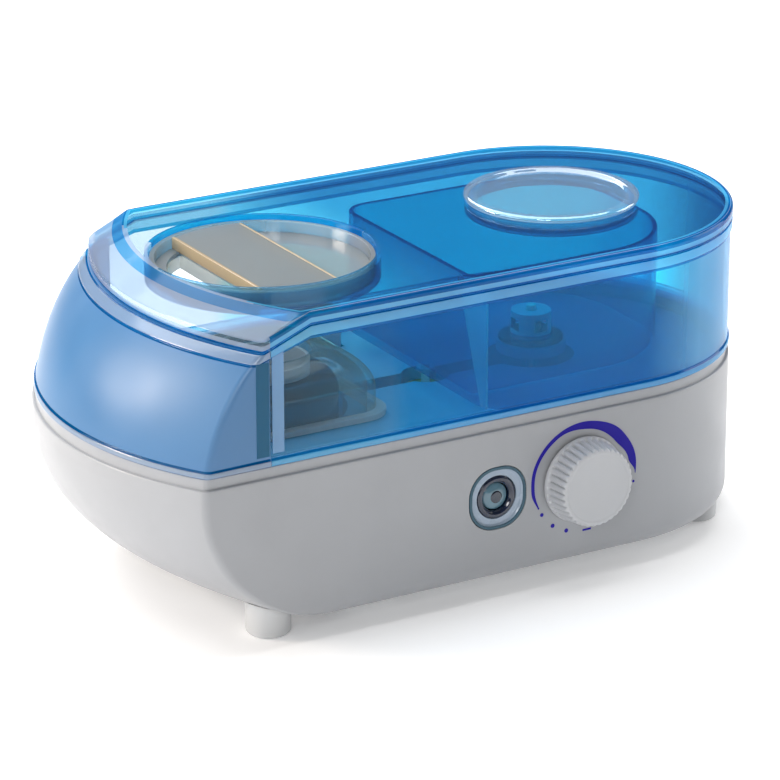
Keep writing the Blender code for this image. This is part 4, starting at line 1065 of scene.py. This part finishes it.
def chord_points(radius, left, right, segments=40):
    """The part of a disc between two lines x = left and x = right."""
    top = arc((0, 0), radius, math.acos(right / radius), math.acos(left / radius), segments)
    return top + [(x, -y) for x, y in reversed(top)]


def make_nozzle():
    at = (*NOZZLE, 0)
    low = LID_TOP - COLLAR_DEPTH + SHELF + GAP
    radius = NOZZLE_RADIUS - 0.0005
    rim = low + 0.008
    ring = softened([(radius, rim), (radius, low), (radius - 0.006, low), (radius - 0.006, low + 0.0012),
                     (radius - 0.0022, low + 0.0012), (radius - 0.0022, rim)], 0.0004)
    plate_low = low + 0.0012 + GAP
    plate_high = plate_low + 0.0016
    plate_radius = radius - 0.0022 - GAP
    mouth = arc((0, 0), plate_radius - 0.005, radians(122), radians(238), 40)
    plate = carved(rod(plate_radius, plate_low, plate_high, steps=ROUND_STEPS), [prism(mouth, *THROUGH)])
    around = arc((0, 0), plate_radius - 0.0038, radians(120), radians(240), 40)
    tube = carved(prism(around, low - MOUTH_DEPTH, plate_low - GAP), [prism(mouth, *THROUGH)])
    put("nozzle_frame_fine", turned(ring, ROUND_STEPS), NOZZLE_RING, "nozzle", at)
    put("nozzle_tube", tube, NOZZLE_RING, "nozzle", at)
    wall_x = plate_radius * cos(radians(122)) + 0.003
    wing = chord_points(plate_radius - 0.0006, wall_x, 0.012)
    flap = prism(wing, rim - 0.0012, rim - 0.0002)
    put("nozzle_plate_fine", merged(plate, flap), NOZZLE_GREY, "nozzle", at)
    right_x = 0.0126
    tall = rim - plate_high
    middle = (plate_high + rim) / 2
    length, right_length = [2 * sqrt((plate_radius - 0.001) ** 2 - x**2) for x in (wall_x, right_x)]
    wall = block((wall_x - 0.001, 0, middle + 0.0002), (0.0016, length, tall + 0.0004), 0.0003)
    right = block((right_x, 0, middle), (0.001, right_length, tall), 0.0002)
    put("nozzle_walls", merged(wall, right), NOZZLE_AMBER, "nozzle", at)


def make_filler_cap():
    brim_low = LID_TOP + 0.0011
    top = LID_TOP + 0.003
    plug = FILLER_RADIUS - 0.0022 - GAP
    dish = top - 0.0014
    profile = softened([(0, dish), (FILLER_RADIUS - 0.006, dish), (FILLER_RADIUS - 0.0045, top),
                        (FILLER_RADIUS - 0.001, top), (FILLER_RADIUS, top - 0.0008), (FILLER_RADIUS, brim_low),
                        (plug, brim_low), (plug, LID_TOP - 0.0055), (plug - 0.002, LID_TOP - 0.0055),
                        (plug - 0.002, brim_low - 0.0009), (0, brim_low - 0.0009)], 0.0006, closed=False)
    # The cap's rim and its foot get a painted highlight.
    shades = []
    for (r0, z0), (r1, z1) in zip(profile, profile[1:]):
        on_rim = (r0 + r1) / 2 > FILLER_RADIUS - 0.0061 and (z0 + z1) / 2 > dish
        at_foot = (z0 + z1) / 2 < LID_TOP - 0.0046
        shades.append(1 if on_rim or at_foot else 0)
    cap = turned(profile, ROUND_STEPS, False, shades=shades)
    put("filler_cap_fine", cap, (CAP_CLEAR, CAP_HIGHLIGHT), "filler_cap")
    low = LID_TOP + 0.0001 + GAP / 2
    high, outer = brim_low - GAP / 2, FILLER_RADIUS - 0.0006
    seal = softened([(outer, high), (outer, low), (plug + GAP, low), (plug + GAP, high)], 0.0003)
    put("filler_gasket_fine", turned(seal, ROUND_STEPS), GASKET_CLEAR, "filler_cap")


# ---------------------------------------------------------------- the studio

AZIMUTH = radians(-30.14)
ELEVATION = radians(20.475)
DISTANCE = 1.8
LENS = 183.0
TARGET = Vector((0.0039, 0.0173, 0.0681))


def make_camera():
    data = bpy.data.cameras.new("camera")
    data.lens = LENS
    camera = new_object("camera", data)
    away = Vector((sin(AZIMUTH) * cos(ELEVATION), -cos(AZIMUTH) * cos(ELEVATION),
                   sin(ELEVATION)))
    camera.location = TARGET + away * DISTANCE
    camera.rotation_euler = away.to_track_quat("Z", "Y").to_euler()
    bpy.context.scene.camera = camera


def area_light(name, place, aim, size, power, colour=(1.0, 1.0, 1.0)):
    data = bpy.data.lights.new(name, "AREA")
    data.shape = "RECTANGLE"
    data.size, data.size_y = size
    data.energy = power
    data.color = colour
    light = new_object(name, data)
    light.location = place
    light.rotation_euler = (Vector(place) - Vector(aim)).to_track_quat("Z", "Y").to_euler()


def make_studio():
    floor_finish, tree = new_material("studio_floor")
    tone = blend_colour(tree, spread(tree, noise(tree, 3.0), 0.0, 1.0), (0.93, 0.93, 0.935), (0.96, 0.96, 0.96))
    shader = add(tree, "ShaderNodeBsdfPrincipled", {
        "Base Color": tone,
        "Roughness": 0.9,
        "Specular IOR Level": 0.1,
        "Emission Color": WHITE,
        "Emission Strength": 0.16,
    })
    add(tree, "ShaderNodeOutputMaterial", {"Surface": shader.outputs["BSDF"]})
    bm = bmesh.new()
    bmesh.ops.create_grid(bm, x_segments=8, y_segments=8, size=6.0)
    mesh = mesh_from(bm)
    mesh.materials.append(floor_finish)
    floor = new_object("studio_floor", mesh)
    floor.location = (0, 0, -0.0002)
    area_light("overhead", (0.0, 0.7, 1.6), (0.0, 0.25, 0.0), (2.6, 2.2), 52.0)
    area_light("left_softbox", (-1.4, -0.1, 0.5), (0.0, 0.0, 0.08), (0.8, 0.7), 3.5)
    area_light("left_back_softbox", (-1.3, 0.73, 0.68), (-0.15, 0.0, 0.11), (0.5, 0.45), 15.0, (1.0, 0.9, 0.8))
    area_light("front_fill", (-0.95, -1.15, 0.75), (-0.07, 0.0, 0.09), (0.5, 0.5), 6.5)
    area_light("right_softbox", (1.3, -0.15, 0.5), (0.0, 0.0, 0.08), (0.8, 0.7), 7.5)
    area_light("back_panel", (0.2, 1.5, 1.15), (-0.15, 0.0, 0.14), (1.0, 0.7), 9.0)
    world = bpy.data.worlds.new("studio")
    world.use_nodes = True
    sky = world.node_tree.nodes["Background"].inputs
    sky["Color"].default_value = WHITE
    sky["Strength"].default_value = 0.1
    bpy.context.scene.world = world
    bpy.context.scene.view_settings.view_transform = "Standard"
    bpy.context.scene.cycles.transparent_max_bounces = 32


make_camera()
make_studio()
make_base()
make_feet()
make_deck()
make_duct()
make_gland()
make_light()
make_knob()
make_dial()
make_mist_path()
make_housing()
make_gusset()
make_reservoir()
make_valve()
make_lid()
make_nozzle()
make_filler_cap()
